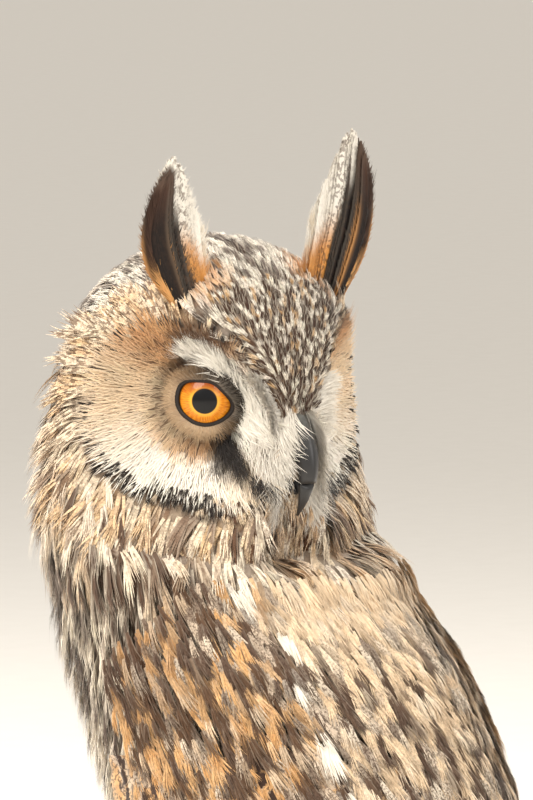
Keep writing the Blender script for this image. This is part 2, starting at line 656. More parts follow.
class Graph:
    """Lays out one Principled material node by node."""

    def __init__(self, name: str) -> None:
        """Start a material with its shader."""
        self.material = bpy.data.materials.new(name)
        self.material.use_nodes = True
        self.tree = self.material.node_tree
        self.shader = self.tree.nodes["Principled BSDF"]

    def put(self, socket: bpy.types.NodeSocket, value: object) -> None:
        """Link a socket or set it to a constant."""
        if isinstance(value, bpy.types.NodeSocket):
            self.tree.links.new(value, socket)
        elif value is not None:
            socket.default_value = value

    def attribute(self, name: str, output: str) -> bpy.types.NodeSocket:
        """Read a value that the mesh carries."""
        node = self.tree.nodes.new("ShaderNodeAttribute")
        node.attribute_name = name
        return node.outputs[output]

    def math(self, operation: str, *values: object, clamp: bool = False) -> bpy.types.NodeSocket:
        """Do one sum.

        Args:
            operation: Blender's name of the sum.
            values: Sockets or numbers.
            clamp: Whether the result stays from 0 to 1.

        Returns:
            The result's socket.
        """
        node = self.tree.nodes.new("ShaderNodeMath")
        node.operation = operation
        node.use_clamp = clamp
        for socket, value in zip(node.inputs, values):
            self.put(socket, value)
        return node.outputs[0]

    def times(self, first: object, second: object) -> bpy.types.NodeSocket:
        """Multiply two values."""
        return self.math("MULTIPLY", first, second)

    def plus(self, first: object, second: object) -> bpy.types.NodeSocket:
        """Add two values."""
        return self.math("ADD", first, second)

    def minus(self, first: object, second: object) -> bpy.types.NodeSocket:
        """Take the second value from the first."""
        return self.math("SUBTRACT", first, second)

    def place(self) -> bpy.types.NodeSocket:
        """Give the place on the piece in metres."""
        return self.tree.nodes.new("ShaderNodeTexCoord").outputs["Object"]

    def split(self, vector: bpy.types.NodeSocket) -> tuple:
        """Part a vector into its three numbers."""
        node = self.tree.nodes.new("ShaderNodeSeparateXYZ")
        self.put(node.inputs[0], vector)
        return tuple(node.outputs)

    def join(self, x: object, y: object, z: object) -> bpy.types.NodeSocket:
        """Make a vector of three numbers."""
        node = self.tree.nodes.new("ShaderNodeCombineXYZ")
        for socket, value in zip(node.inputs, (x, y, z)):
            self.put(socket, value)
        return node.outputs[0]

    def smooth(self, value: object, low: object, high: object) -> bpy.types.NodeSocket:
        """Rise smoothly from 0 at low to 1 at high."""
        node = self.tree.nodes.new("ShaderNodeMapRange")
        node.interpolation_type = "SMOOTHSTEP"
        for name, entry in (("Value", value), ("From Min", low), ("From Max", high)):
            self.put(node.inputs[name], entry)
        return node.outputs[0]

    def noise(self, vector: object, scale: float, detail: float = 2.0) -> bpy.types.NodeSocket:
        """Read a noise at a place."""
        node = self.tree.nodes.new("ShaderNodeTexNoise")
        self.put(node.inputs["Vector"], vector)
        node.inputs["Scale"].default_value = scale
        node.inputs["Detail"].default_value = detail
        return node.outputs[0]

    def own_place(self, chance: bpy.types.NodeSocket) -> bpy.types.NodeSocket:
        """Give the place on the piece in metres, moved far off by a feather's own number."""
        node = self.tree.nodes.new("ShaderNodeVectorMath")
        node.operation = "ADD"
        self.put(node.inputs[0], self.place())
        self.put(node.inputs[1], self.join(chance, self.times(chance, 3.0), chance))
        return node.outputs[0]

    def mix(self, first: object, second: object, share: object) -> bpy.types.NodeSocket:
        """Mix two colours by a share."""
        node = self.tree.nodes.new("ShaderNodeMix")
        node.data_type = "RGBA"
        self.put(node.inputs[0], share)
        for socket, value in ((node.inputs[6], first), (node.inputs[7], second)):
            if isinstance(value, bpy.types.NodeSocket):
                self.put(socket, value)
            else:
                socket.default_value = (*value, 1.0)
        return node.outputs[2]

    def finish(self, colour: object, height: object, strength: float, distance: float) -> None:
        """Give the shader its colour and a bump.

        Args:
            colour: The colour's socket.
            height: The bump's socket.
            strength: The bump's strength.
            distance: The bump's depth in metres.
        """
        self.put(self.shader.inputs["Base Color"], colour)
        bump = self.tree.nodes.new("ShaderNodeBump")
        bump.inputs["Strength"].default_value = strength
        bump.inputs["Distance"].default_value = distance
        self.put(bump.inputs["Height"], height)
        self.put(self.shader.inputs["Normal"], bump.outputs[0])

    def constants(self, **values: float) -> None:
        """Set numbers that are alike all over the surface, named as the shader names them."""
        for name, value in values.items():
            self.shader.inputs[name.replace("_", " ")].default_value = value


@dataclass(frozen=True)
class FeatherFinish:
    """A feather's finish: its ground, shaft streak, bars, speckles, pale edge and barbs."""

    name: str
    bars: float = 4.0
    slant: float = 0.5
    grain: float = 1000.0
    lumps: float = 330.0
    patches: float = 0.0
    teeth: float = 0.10
    barbs: float = 26.0
    barb_slant: float = 0.55
    dusk: float = 0.55
    roughness: float = 0.72
    sheen: float = 0.25

    def material(self) -> bpy.types.Material:
        """Make the material.

        Returns:
            The finished material.
        """
        g = Graph(self.name)
        x, y, _ = g.split(g.attribute(VANE, "Vector"))
        streak, bars, speck = g.split(g.attribute(MARKS, "Vector"))
        chance = g.attribute(CHANCE, "Fac")
        side = g.math("ABSOLUTE", x)
        own = g.times(chance, 37.0)
        place = g.own_place(chance)
        rough = g.noise(g.join(x, g.times(y, 2.0), own), 2.6, 3.0)
        fine = g.noise(place, self.grain, 2.0)
        lumps = g.noise(place, self.lumps, 2.0)
        areas = g.noise(place, 0.5 * self.lumps, 1.0)
        dusky = g.mix(g.attribute(TONE, "Color"), tuple(PLUMAGE.grey * 0.55),
                      g.times(g.smooth(y, 0.42, 0.0), self.dusk))
        pale = g.times(g.smooth(areas, 0.48, 0.55), self.patches)
        colour = g.mix(dusky, tuple(PLUMAGE.ash), pale)
        ink = g.attribute(INK, "Color")
        # Bars bend towards the tip at the edges
        phase = g.plus(g.times(y, self.bars), g.times(side, -self.slant))
        phase = g.plus(phase, g.times(rough, 1.1))
        phase = g.plus(phase, chance)
        wave = g.math("SINE", g.times(phase, 2.0 * math.pi))
        band = g.times(g.smooth(wave, 0.1, 0.65), bars)
        colour = g.mix(colour, ink, band)
        freckle = g.times(g.smooth(fine, 0.50, 0.57), speck)
        colour = g.mix(colour, ink, freckle)
        # The shaft streak widens towards the tip
        width = g.times(streak, g.plus(0.35, g.times(y, 0.9)))
        width = g.plus(width, g.times(g.minus(rough, 0.5), 0.30))
        width = g.plus(width, g.times(g.minus(lumps, 0.5),
                                            10.0 * self.teeth))
        line = g.math("MULTIPLY_ADD", g.minus(width, side), 4.5, 0.5, clamp=True)
        present = g.math("MULTIPLY", streak, 12.0, clamp=True)
        colour = g.mix(colour, ink, g.times(line, present))
        # Pale edge and tip
        border = g.math("MAXIMUM", g.smooth(side, 0.60, 1.0), g.smooth(y, 0.86, 1.0))
        border = g.times(border, g.attribute(TONE, "Alpha"))
        colour = g.mix(colour, tuple(PLUMAGE.cream), border)
        # Barbs
        lean = g.minus(y, g.times(side, self.barb_slant))
        lean = g.plus(lean, g.times(rough, 0.05))
        barbs = g.math("SINE", g.times(lean, 2.0 * math.pi * self.barbs))
        shaded = g.math("MULTIPLY_ADD", barbs, 0.06, 0.94)
        node = g.tree.nodes.new("ShaderNodeVectorMath")
        node.operation = "SCALE"
        g.put(node.inputs[0], colour)
        g.put(node.inputs["Scale"], shaded)
        g.finish(node.outputs[0], barbs, 0.30, 0.0003)
        g.constants(Roughness=self.roughness, Sheen_Weight=self.sheen, Specular_IOR_Level=0.25)
        return g.material


@dataclass
class MeshPile:
    """Gathers points, faces and the values that they carry, for one mesh."""

    points: list = field(default_factory=list)
    faces: list = field(default_factory=list)
    values: dict = field(default_factory=dict)
    count: int = 0

    def add(self, points: Array, faces: Array, **values: Array) -> None:
        """Add one form.

        Args:
            points: Rows of x, y and z.
            faces: Rows of three point numbers.
            values: Named rows, one for each point.
        """
        self.points.append(points)
        self.faces.append(faces + self.count)
        for name, rows in values.items():
            self.values.setdefault(name, []).append(rows)
        self.count += len(points)

    def lay(self, points: Array, faces: Array, vane: Array, values: tuple) -> None:
        """Add points with one long feather's colours, and their patch on the flat map.

        Args:
            points: Rows of x, y and z.
            faces: Rows of three point numbers.
            vane: The points' places across and along the feather.
            values: Its ground, or a rule for it, mark colour, marks, chance and place on the map.
        """
        count = len(points)
        tone, ink, marks, chance, root = values
        tones = tone(vane) if callable(tone) else np.tile(tone, (count, 1))
        patch = np.column_stack((0.5 + 0.45 * np.clip(vane[:, 0], -1.1, 1.1), vane[:, 1]))
        bake = root + 0.012 * (patch - 0.5)
        self.add(points, faces, **{
            VANE: vane, TONE: tones, INK: np.tile(ink, (count, 1)),
            MARKS: np.tile(marks, (count, 1)), CHANCE: np.full(count, chance), BAKE_MAP: bake,
        })

    def mesh(self, name: str) -> bpy.types.Mesh:
        """Make the mesh with all its values.

        Args:
            name: The mesh's name.

        Returns:
            The finished mesh.
        """
        points = np.concatenate(self.points)
        faces = np.concatenate(self.faces)
        mesh = bpy.data.meshes.new(name)
        mesh.vertices.add(len(points))
        mesh.vertices.foreach_set("co", np.ascontiguousarray(points, dtype=np.float32).ravel())
        mesh.loops.add(3 * len(faces))
        mesh.loops.foreach_set("vertex_index", np.ascontiguousarray(faces, dtype=np.int32).ravel())
        mesh.polygons.add(len(faces))
        mesh.polygons.foreach_set("loop_start", np.arange(0, 3 * len(faces), 3, dtype=np.int32))
        mesh.update(calc_edges=True)
        kinds = {VANE: "FLOAT_VECTOR", MARKS: "FLOAT_VECTOR", CHANCE: "FLOAT",
                 TONE: "FLOAT_COLOR", INK: "FLOAT_COLOR", PATCH: "FLOAT_VECTOR"}
        for label, rows in self.values.items():
            rows = np.concatenate(rows)
            if label == BAKE_MAP:
                corner = rows[faces.ravel()]
                carry(mesh, BAKE_MAP, "FLOAT2", corner, "CORNER")
            else:
                carry(mesh, label, kinds[label], rows)
        mesh.shade_smooth()
        return mesh


def carry(mesh: bpy.types.Mesh, name: str, kind: str, rows: Array, domain: str = "POINT") -> None:
    """Store named values on a mesh.

    Args:
        mesh: The mesh.
        name: The values' name.
        kind: Blender's name of their kind.
        rows: The values.
        domain: POINT or CORNER.
    """
    layer = mesh.attributes.new(name, kind, domain)
    numbers = np.ascontiguousarray(rows, dtype=np.int32 if kind == "INT" else np.float32)
    layer.data.foreach_set(ATTRIBUTE_FIELDS[kind], numbers.ravel())


def grid_faces(rows: int, columns: int, closed: bool = False) -> Array:
    """Give the triangles between rows of points.

    Args:
        rows: How many rows.
        columns: Points in a row.
        closed: Whether the last column joins the first.

    Returns:
        Rows of three point numbers.
    """
    wide = columns if closed else columns - 1
    row, column = np.meshgrid(np.arange(rows - 1), np.arange(wide), indexing="ij")
    a = (row * columns + column).ravel()
    b = (row * columns + (column + 1) % columns).ravel()
    return np.concatenate((np.stack((a, b, b + columns), axis=-1),
                           np.stack((a, b + columns, a + columns), axis=-1)))


def tube_faces(rings: int, sides: int) -> Array:
    """Give the triangles of a tube that closes on two points after its rings, the first end's first.

    Args:
        rings: How many rings.
        sides: Points in a ring.

    Returns:
        Rows of three point numbers.
    """
    first = np.arange(sides)
    after = (first + 1) % sides
    last, total = (rings - 1) * sides, rings * sides
    return np.concatenate((grid_faces(rings, sides, closed=True), as_rows(after, first, total),
                           as_rows(first + last, after + last, total + 1)))


def rows_of(items: bpy.types.bpy_prop_collection, name: str, kind: type = float) -> Array:
    """Read three numbers of each part of a mesh, as rows."""
    rows = np.empty(3 * len(items), dtype=kind)
    items.foreach_get(name, rows)
    return rows.reshape(-1, 3)


def ribbon(x: Array, y: Array, half: Array) -> Array:
    """Give both edges of a flat strip along a line, point by point, left before right.

    Args:
        x: Places across along its middle.
        y: Places along.
        half: Its half widths.

    Returns:
        Rows of x and y.
    """
    way = as_rows(np.gradient(x), np.gradient(y))
    way = way / np.maximum(np.linalg.norm(way, axis=-1, keepdims=True), 1e-9)
    left = as_rows(x - way[:, 1] * half, y + way[:, 0] * half)
    right = as_rows(x + way[:, 1] * half, y - way[:, 0] * half)
    return np.stack((left, right), axis=1).reshape(-1, 2)


def show(mesh: bpy.types.Mesh, name: str, material: bpy.types.Material | None,
         slot: str, *nodes: str) -> bpy.types.Object:
    """Make a mesh a piece of the bird.

    Args:
        mesh: The piece's mesh, in place.
        name: The piece's name.
        material: Its finish, or None where the mesh has it.
        slot: The record's material slot.
        nodes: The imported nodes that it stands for.

    Returns:
        The piece.
    """
    item = bpy.data.objects.new(name, mesh)
    bpy.context.scene.collection.objects.link(item)
    if material is not None:
        item.data.materials.clear()
        item.data.materials.append(material)
    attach(item, "root")
    if nodes:
        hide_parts(*nodes)
    LOG.info("%s: %d triangles", name, sum(len(p.vertices) - 2 for p in mesh.polygons))
    return item


class Skin:
    """The body under the feathers: the flesh nodes fused, and drawn in by the plumage's depth."""

    nodes = ("torso", "neck", "head", "leg_left", "leg_right", "foot_left", "foot_right")
    voxel = 0.0017
    soften_steps = 6
    settle_steps = 4
    depths = {
        Zone.BODY: 0.0042, Zone.NECK: 0.0040, Zone.CROWN: 0.0030, Zone.FOREHEAD: 0.0020,
        Zone.RUFF: 0.0030, Zone.RIM: 0.0024, Zone.DISC: 0.0018, Zone.LEG: 0.0022,
        Zone.FOOT: 0.0011, Zone.BARE: 0.0,
    }

    def build(self) -> bpy.types.Object:
        """Make the skin.

        Returns:
            The skin's piece.
        """
        work = bmesh.new()
        for node in self.nodes:
            work.from_mesh(frame["nodes"][node].data)
        bmesh.ops.remove_doubles(work, verts=work.verts, dist=1e-6)
        mesh = bpy.data.meshes.new("skin")
        work.to_mesh(mesh)
        work.free()
        rough = bpy.data.objects.new("rough_skin", mesh)
        bpy.context.scene.collection.objects.link(rough)
        change = rough.modifiers.new("fuse", "REMESH")
        change.mode = "VOXEL"
        change.voxel_size = self.voxel
        change.use_smooth_shade = True
        soften = rough.modifiers.new("soften", "SMOOTH")
        soften.iterations = self.soften_steps
        graph = bpy.context.evaluated_depsgraph_get()
        skin = bpy.data.meshes.new_from_object(rough.evaluated_get(graph))
        bpy.data.objects.remove(rough, do_unlink=True)
        self.draw_in(skin)
        points = rows_of(skin.vertices, "co")
        tone = PLUMAGE.markings(points, PLUMAGE.zones(points), 3)[0]
        carry(skin, TONE, "FLOAT_COLOR", tone)
        skin.name = "skin"
        g = Graph("skin_down")
        down = g.noise(g.place(), 700.0, 4.0)
        dusk = g.mix(g.attribute(TONE, "Color"), tuple(PLUMAGE.brown * 0.6), 0.65)
        g.finish(g.mix(dusk, tuple(PLUMAGE.brown * 0.4), g.times(down, 0.6)), down, 0.6, 0.001)
        g.constants(Roughness=0.9, Sheen_Weight=0.2)
        return show(skin, "skin", g.material, "body_feathers", *self.nodes)

    def draw_in(self, skin: bpy.types.Mesh) -> None:
        """Move the skin in by the depth of the plumage over it."""
        work = bmesh.new()
        work.from_mesh(skin)
        work.normal_update()
        points = np.array([v.co for v in work.verts])
        normals = np.array([v.normal for v in work.verts])
        zone = PLUMAGE.zones(points)
        table = np.array([self.depths[kind] for kind in Zone])
        moved = points - normals * table[zone][:, None]
        for vertex, place in zip(work.verts, moved):
            vertex.co = place
        for _ in range(self.settle_steps):
            bmesh.ops.smooth_vert(work, verts=work.verts, factor=0.5, use_axis_x=True,
                                  use_axis_y=True, use_axis_z=True)
        work.to_mesh(skin)
        work.free()


class Roots:
    """Feather roots strewn evenly over the skin."""

    throws = 4.5
    cell = 0.0066

    def __init__(self, skin: bpy.types.Object, seed: int = 11) -> None:
        """Read the skin's triangles and throw the roots.

        Args:
            skin: The skin's piece.
            seed: Seed of the throw.
        """
        mesh = skin.data
        mesh.calc_loop_triangles()
        corners = rows_of(mesh.loop_triangles, "vertices", np.int32)
        points = rows_of(mesh.vertices, "co")
        normals = rows_of(mesh.vertices, "normal")
        a, b, c = (points[corners[:, k]] for k in range(3))
        area = 0.5 * np.linalg.norm(np.cross(b - a, c - a), axis=-1)
        middle = (a + b + c) / 3.0
        weight = area / PLUMAGE.spacing(PLUMAGE.zones(middle), middle[:, 2]) ** 2
        draw = np.random.default_rng(seed)
        total = int(self.throws * weight.sum())
        chosen = draw.choice(len(area), size=total, p=weight / weight.sum())
        u, v = draw.random(total), draw.random(total)
        fold = u + v > 1.0
        u[fold], v[fold] = 1.0 - u[fold], 1.0 - v[fold]
        w = 1.0 - u - v
        self.points = (a[chosen] * w[:, None] + b[chosen] * u[:, None] + c[chosen] * v[:, None])
        n = [normals[corners[chosen, k]] for k in range(3)]
        self.normals = unit(n[0] * w[:, None] + n[1] * u[:, None] + n[2] * v[:, None])
        self.zone = PLUMAGE.zones(self.points)
        keep = self.thin()
        self.points, self.normals, self.zone = self.points[keep], self.normals[keep], self.zone[keep]
        LOG.info("roots: %d kept of %d", len(keep), total)

    def thin(self) -> Array:
        """Keep roots that aren't too near to an earlier one.

        Returns:
            The numbers of the kept roots.
        """
        reach = PLUMAGE.spacing(self.zone, self.points[:, 2])
        cells: dict[tuple, list] = {}
        kept = []
        places = self.points.tolist()
        keys = np.floor(self.points / self.cell).astype(int).tolist()
        bare = self.zone == Zone.BARE
        steps = tuple(itertools.product((-1, 0, 1), repeat=3))
        for number, ((px, py, pz), (kx, ky, kz)) in enumerate(zip(places, keys)):
            if bare[number]:
                continue
            near = reach[number] ** 2
            around = (places[other] for dx, dy, dz in steps
                      for other in cells.get((kx + dx, ky + dy, kz + dz), ()))
            if all((x - px) ** 2 + (y - py) ** 2 + (z - pz) ** 2 >= near for x, y, z in around):
                cells.setdefault((kx, ky, kz), []).append(number)
                kept.append(number)
        return np.array(kept)


@dataclass
class FeatherPattern:
    """One loose feather that is strewn many times: a shaft with barbs that part at their tips."""

    name: str
    barbs: int = 13
    spread: float = 0.5
    sweep: float = 0.26
    looseness: float = 0.12
    barb_width: float = 1.5
    steps: int = 3
    start: float = 0.06
    droop: float = 0.25
    camber: float = 0.16
    widest: float = 0.55
    seed: int = 1

    def outline(self, y: Array) -> Array:
        """Give the half width at shares of the length."""
        low = np.sin(0.5 * math.pi * np.clip(y / self.widest, 0.0, 1.0)) ** 0.8
        high = np.sqrt(np.clip(1.0 - ((y - self.widest) / (1.02 - self.widest)) ** 2, 0.0, 1.0))
        return self.spread * np.where(y < self.widest, 0.35 + 0.65 * low, 0.25 + 0.75 * high)

    def lift(self, x: Array, y: Array) -> Array:
        """Give how far the feather stands off the skin, 1 at its highest."""
        climb = 1.0 - (1.0 - np.clip(y, 0.0, 1.0)) ** 2.0
        fall = self.droop * np.clip(y - 0.6, 0.0, 1.0) ** 2 / 0.16
        return climb - fall - self.camber * (x / max(self.spread, 1e-6)) ** 2

    def build(self) -> bpy.types.Object:
        """Make the feather as an unplaced object, length 1 along +Y and standing off along +Z.

        Returns:
            The object, to be strewn.
        """
        draw = np.random.default_rng(self.seed)
        pile = MeshPile()
        roots = np.linspace(self.start, 0.93, self.barbs)
        pitch = roots[1] - roots[0]
        for number, y in enumerate(roots):
            for side in (-1, 1):
                reach = float(self.outline(np.array(min(0.98, y + 0.5 * self.sweep))))
                reach *= 1.0 + self.looseness * 2.0 * (draw.random() - 0.5)
                forward = self.sweep * (1.0 - 0.35 * y) * (1.0 + 0.35 * (draw.random() - 0.5))
                forward *= 1.0 + 0.25 * self.looseness * draw.random()
                t = np.linspace(0.0, 1.0, self.steps + 1)
                x = side * reach * np.sin(0.5 * math.pi * t) ** 0.9
                yy = y + forward * t ** 1.35
                width = self.barb_width * pitch * np.where(t < 0.7, 1.0, (1.0 - t) / 0.3)
                self.strip(pile, x, yy, width, 0.010 * (number % 2))
        for k in range(3):
            t = np.linspace(0.0, 1.0, self.steps + 1)
            x = (k - 1) * 0.10 * self.spread * t
            y = 0.86 + (0.14 + 0.05 * draw.random()) * t
            width = self.barb_width * pitch * np.where(t < 0.6, 1.0, (1.0 - t) / 0.4)
            self.strip(pile, x, y, width, 0.014)
        y = np.linspace(0.0, 0.9, 4)
        self.strip(pile, np.zeros(4), y, np.full(4, 0.035), 0.030)
        return bpy.data.objects.new(self.name, pile.mesh(self.name))

    def strip(self, pile: MeshPile, x: Array, y: Array, width: Array, over: float) -> None:
        """Add one barb, or the shaft, as a narrow strip that ends in a point or a blunt end.

        Args:
            pile: Where the strip goes.
            x: Places across along its middle.
            y: Places along the feather.
            width: Its widths.
            over: How far it lies over the barbs before it.
        """
        x, y = ribbon(x, y, width / 2).T
        points = as_rows(x, y, self.lift(x, y) + over)
        faces = grid_faces(len(width), 2)
        # The upper face looks outwards
        a, b, c = (points[faces[:, k]] for k in range(3))
        down = np.cross(b - a, c - a)[:, 2] < 0.0
        faces[down] = faces[down][:, ::-1]
        patch = as_rows(0.5 + 0.45 * x / self.spread, 0.05 + 0.8 * y, 0.0)
        pile.add(points, faces, **{VANE: as_rows(x / self.spread, y, 0.0), PATCH: np.clip(patch, 0.0, 1.0)})


@dataclass
class LockPattern:
    """A tuft of thin strands that fan from one root, as bristles and disc feathers are."""

    name: str
    strands: int = 7
    fan: float = 0.30
    width: float = 0.030
    steps: int = 4
    curl: float = 0.10
    droop: float = 0.35
    seed: int = 1

    def build(self) -> bpy.types.Object:
        """Make the tuft as an unplaced object, length 1 along +Y and standing off along +Z.

        Returns:
            The object, to be strewn.
        """
        draw = np.random.default_rng(self.seed)
        pile = MeshPile()
        for number in range(self.strands):
            t = np.linspace(0.0, 1.0, self.steps + 1)
            place = (number + 0.5) / self.strands * 2.0 - 1.0
            lean = self.fan * place + 0.10 * (draw.random() - 0.5)
            length = 1.0 - 0.28 * draw.random() - 0.10 * abs(place)
            bend = self.curl * (draw.random() - 0.5) * 2.0
            x = length * (math.sin(lean) * t + bend * t ** 2) + 0.05 * place
            y = length * t * math.cos(lean)
            height = 1.0 - (1.0 - t) ** 2 - self.droop * t ** 3
            height = height * (0.75 + 0.5 * draw.random())
            width = self.width * (1.0 - t ** 1.6) * (0.8 + 0.4 * draw.random()) + 0.001
            points = np.column_stack((ribbon(x, y, width), np.repeat(height, 2)))
            along = np.repeat(t, 2)
            pile.add(points, grid_faces(len(t), 2)[:, ::-1], **{
                VANE: as_rows(place, along, 0.0), PATCH: as_rows(0.5 + 0.4 * place, 0.1 + 0.8 * along, 0.0),
            })
        return bpy.data.objects.new(self.name, pile.mesh(self.name))


@cache
def strewing_tree() -> bpy.types.GeometryNodeTree:
    """Build the one tree that sets a feather on each root and makes the result a plain mesh.

    Returns:
        The tree, with sockets for the patterns, the patch on the flat map, and the finish.
    """
    tree = bpy.data.node_groups.new("strew_feathers", "GeometryNodeTree")
    tree.interface.new_socket("Geometry", in_out="INPUT", socket_type="NodeSocketGeometry")
    tree.interface.new_socket("Patterns", in_out="INPUT", socket_type="NodeSocketCollection")
    tree.interface.new_socket("Patch", in_out="INPUT", socket_type="NodeSocketFloat")
    tree.interface.new_socket("Finish", in_out="INPUT", socket_type="NodeSocketMaterial")
    tree.interface.new_socket("Geometry", in_out="OUTPUT", socket_type="NodeSocketGeometry")
    nodes, links = tree.nodes, tree.links
    start = nodes.new("NodeGroupInput")
    end = nodes.new("NodeGroupOutput")

    def named(name: str, kind: str) -> bpy.types.NodeSocket:
        """Read a value that the roots or feathers carry."""
        node = nodes.new("GeometryNodeInputNamedAttribute")
        node.data_type = kind
        node.inputs["Name"].default_value = name
        return node.outputs[0]

    patterns = nodes.new("GeometryNodeCollectionInfo")
    patterns.inputs["Separate Children"].default_value = True
    patterns.inputs["Reset Children"].default_value = True
    links.new(start.outputs["Patterns"], patterns.inputs["Collection"])
    strew = nodes.new("GeometryNodeInstanceOnPoints")
    strew.inputs["Pick Instance"].default_value = True
    links.new(start.outputs["Geometry"], strew.inputs["Points"])
    links.new(patterns.outputs[0], strew.inputs["Instance"])
    links.new(named("kind", "INT"), strew.inputs["Instance Index"])
    links.new(named("turn", "QUATERNION"), strew.inputs["Rotation"])
    links.new(named("size", "FLOAT_VECTOR"), strew.inputs["Scale"])
    realize = nodes.new("GeometryNodeRealizeInstances")
    links.new(strew.outputs[0], realize.inputs[0])
    scale = nodes.new("ShaderNodeVectorMath")
    scale.operation = "SCALE"
    links.new(named(PATCH, "FLOAT_VECTOR"), scale.inputs[0])
    links.new(start.outputs["Patch"], scale.inputs["Scale"])
    place = nodes.new("ShaderNodeVectorMath")
    links.new(scale.outputs[0], place.inputs[0])
    links.new(named("root_place", "FLOAT_VECTOR"), place.inputs[1])
    store = nodes.new("GeometryNodeStoreNamedAttribute")
    store.data_type = "FLOAT2"
    store.domain = "CORNER"
    store.inputs["Name"].default_value = BAKE_MAP
    links.new(realize.outputs[0], store.inputs["Geometry"])
    links.new(place.outputs[0], store.inputs["Value"])
    finish = nodes.new("GeometryNodeSetMaterial")
    links.new(store.outputs[0], finish.inputs["Geometry"])
    links.new(start.outputs["Finish"], finish.inputs["Material"])
    links.new(finish.outputs[0], end.inputs[0])
    return tree


@dataclass
class Coat:
    """One stretch of plumage: its roots, the sizes of its feathers and their patterns."""

    name: str
    slot: str
    patterns: list
    length: float
    width: float
    depth: float
    curve: float = 0.0
    scatter: float = 0.10
    length_change: float = 0.18
    patch: float = 0.003
    seed: int = 1

    def build(self, finish: bpy.types.Material, points: Array, normals: Array, lie: Array,
              marks: tuple, sizes: Array | float = 1.0) -> None:
        """Strew the feathers and make them one piece.

        Args:
            finish: The feathers' material.
            points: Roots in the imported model.
            normals: The skin's outward directions there.
            lie: The ways in which the feathers point.
            marks: Ground colours, mark colours and marks of the feathers.
            sizes: Shares of the coat's feather length, one for each root or for all.
        """
        tree = strewing_tree()
        count = len(points)
        draw = np.random.default_rng(self.seed)
        aside = np.cross(normals, lie)
        swing = self.scatter * draw.standard_normal(count)
        lie = unit(lie + aside * swing[:, None])
        tip = self.curve + 0.35 * self.scatter * draw.standard_normal(count)
        along = unit(lie - normals * tip[:, None])
        out = across_to(normals, along)
        across = np.cross(along, out)
        quaternions = np.empty((count, 4))
        for number in range(count):
            turn = Matrix((across[number], along[number], out[number])).transposed()
            quaternions[number] = turn.to_quaternion()
        grow = (1.0 + self.length_change * (draw.random(count) - 0.5) * 2.0) * sizes
        size = as_rows(self.width * grow, self.length * grow,
                       self.depth * (0.75 + 0.5 * draw.random(count)))
        mesh = bpy.data.meshes.new(self.name)
        mesh.vertices.add(count)
        mesh.vertices.foreach_set("co", np.ascontiguousarray(points, dtype=np.float32).ravel())
        carry(mesh, "turn", "QUATERNION", quaternions)
        carry(mesh, "size", "FLOAT_VECTOR", size)
        carry(mesh, "kind", "INT", draw.integers(0, len(self.patterns), count))
        carry(mesh, CHANCE, "FLOAT", draw.random(count))
        place = Unwrap.lay(points)
        carry(mesh, "root_place", "FLOAT_VECTOR", np.column_stack((place, np.zeros(count))))
        for label, kind, rows in zip((TONE, INK, MARKS), ("FLOAT_COLOR", "FLOAT_COLOR", "FLOAT_VECTOR"),
                                     marks):
            carry(mesh, label, kind, rows)
        roots = bpy.data.objects.new(self.name + "_roots", mesh)
        bpy.context.scene.collection.objects.link(roots)
        group = bpy.data.collections.new(self.name + "_patterns")
        for number, pattern in enumerate(self.patterns):
            pattern.name = f"{self.name}_pattern_{number}"
            group.objects.link(pattern.build())
        modifier = roots.modifiers.new("strew", "NODES")
        modifier.node_group = tree
        sockets = {item.name: item.identifier for item in tree.interface.items_tree
                   if item.in_out == "INPUT"}
        modifier[sockets["Patterns"]] = group
        modifier[sockets["Patch"]] = self.patch
        modifier[sockets["Finish"]] = finish
        graph = bpy.context.evaluated_depsgraph_get()
        coat = bpy.data.meshes.new_from_object(roots.evaluated_get(graph))
        roots.modifiers.clear()
        bpy.data.objects.remove(roots, do_unlink=True)
        for pattern in list(group.objects):
            bpy.data.objects.remove(pattern, do_unlink=True)
        bpy.data.collections.remove(group)
        for label in ("turn", "size", "kind", "root_place", PATCH):
            layer = coat.attributes.get(label)
            if layer is not None:
                coat.attributes.remove(layer)
        coat.shade_smooth()
        coat.name = self.name
        show(coat, self.name, finish, self.slot)


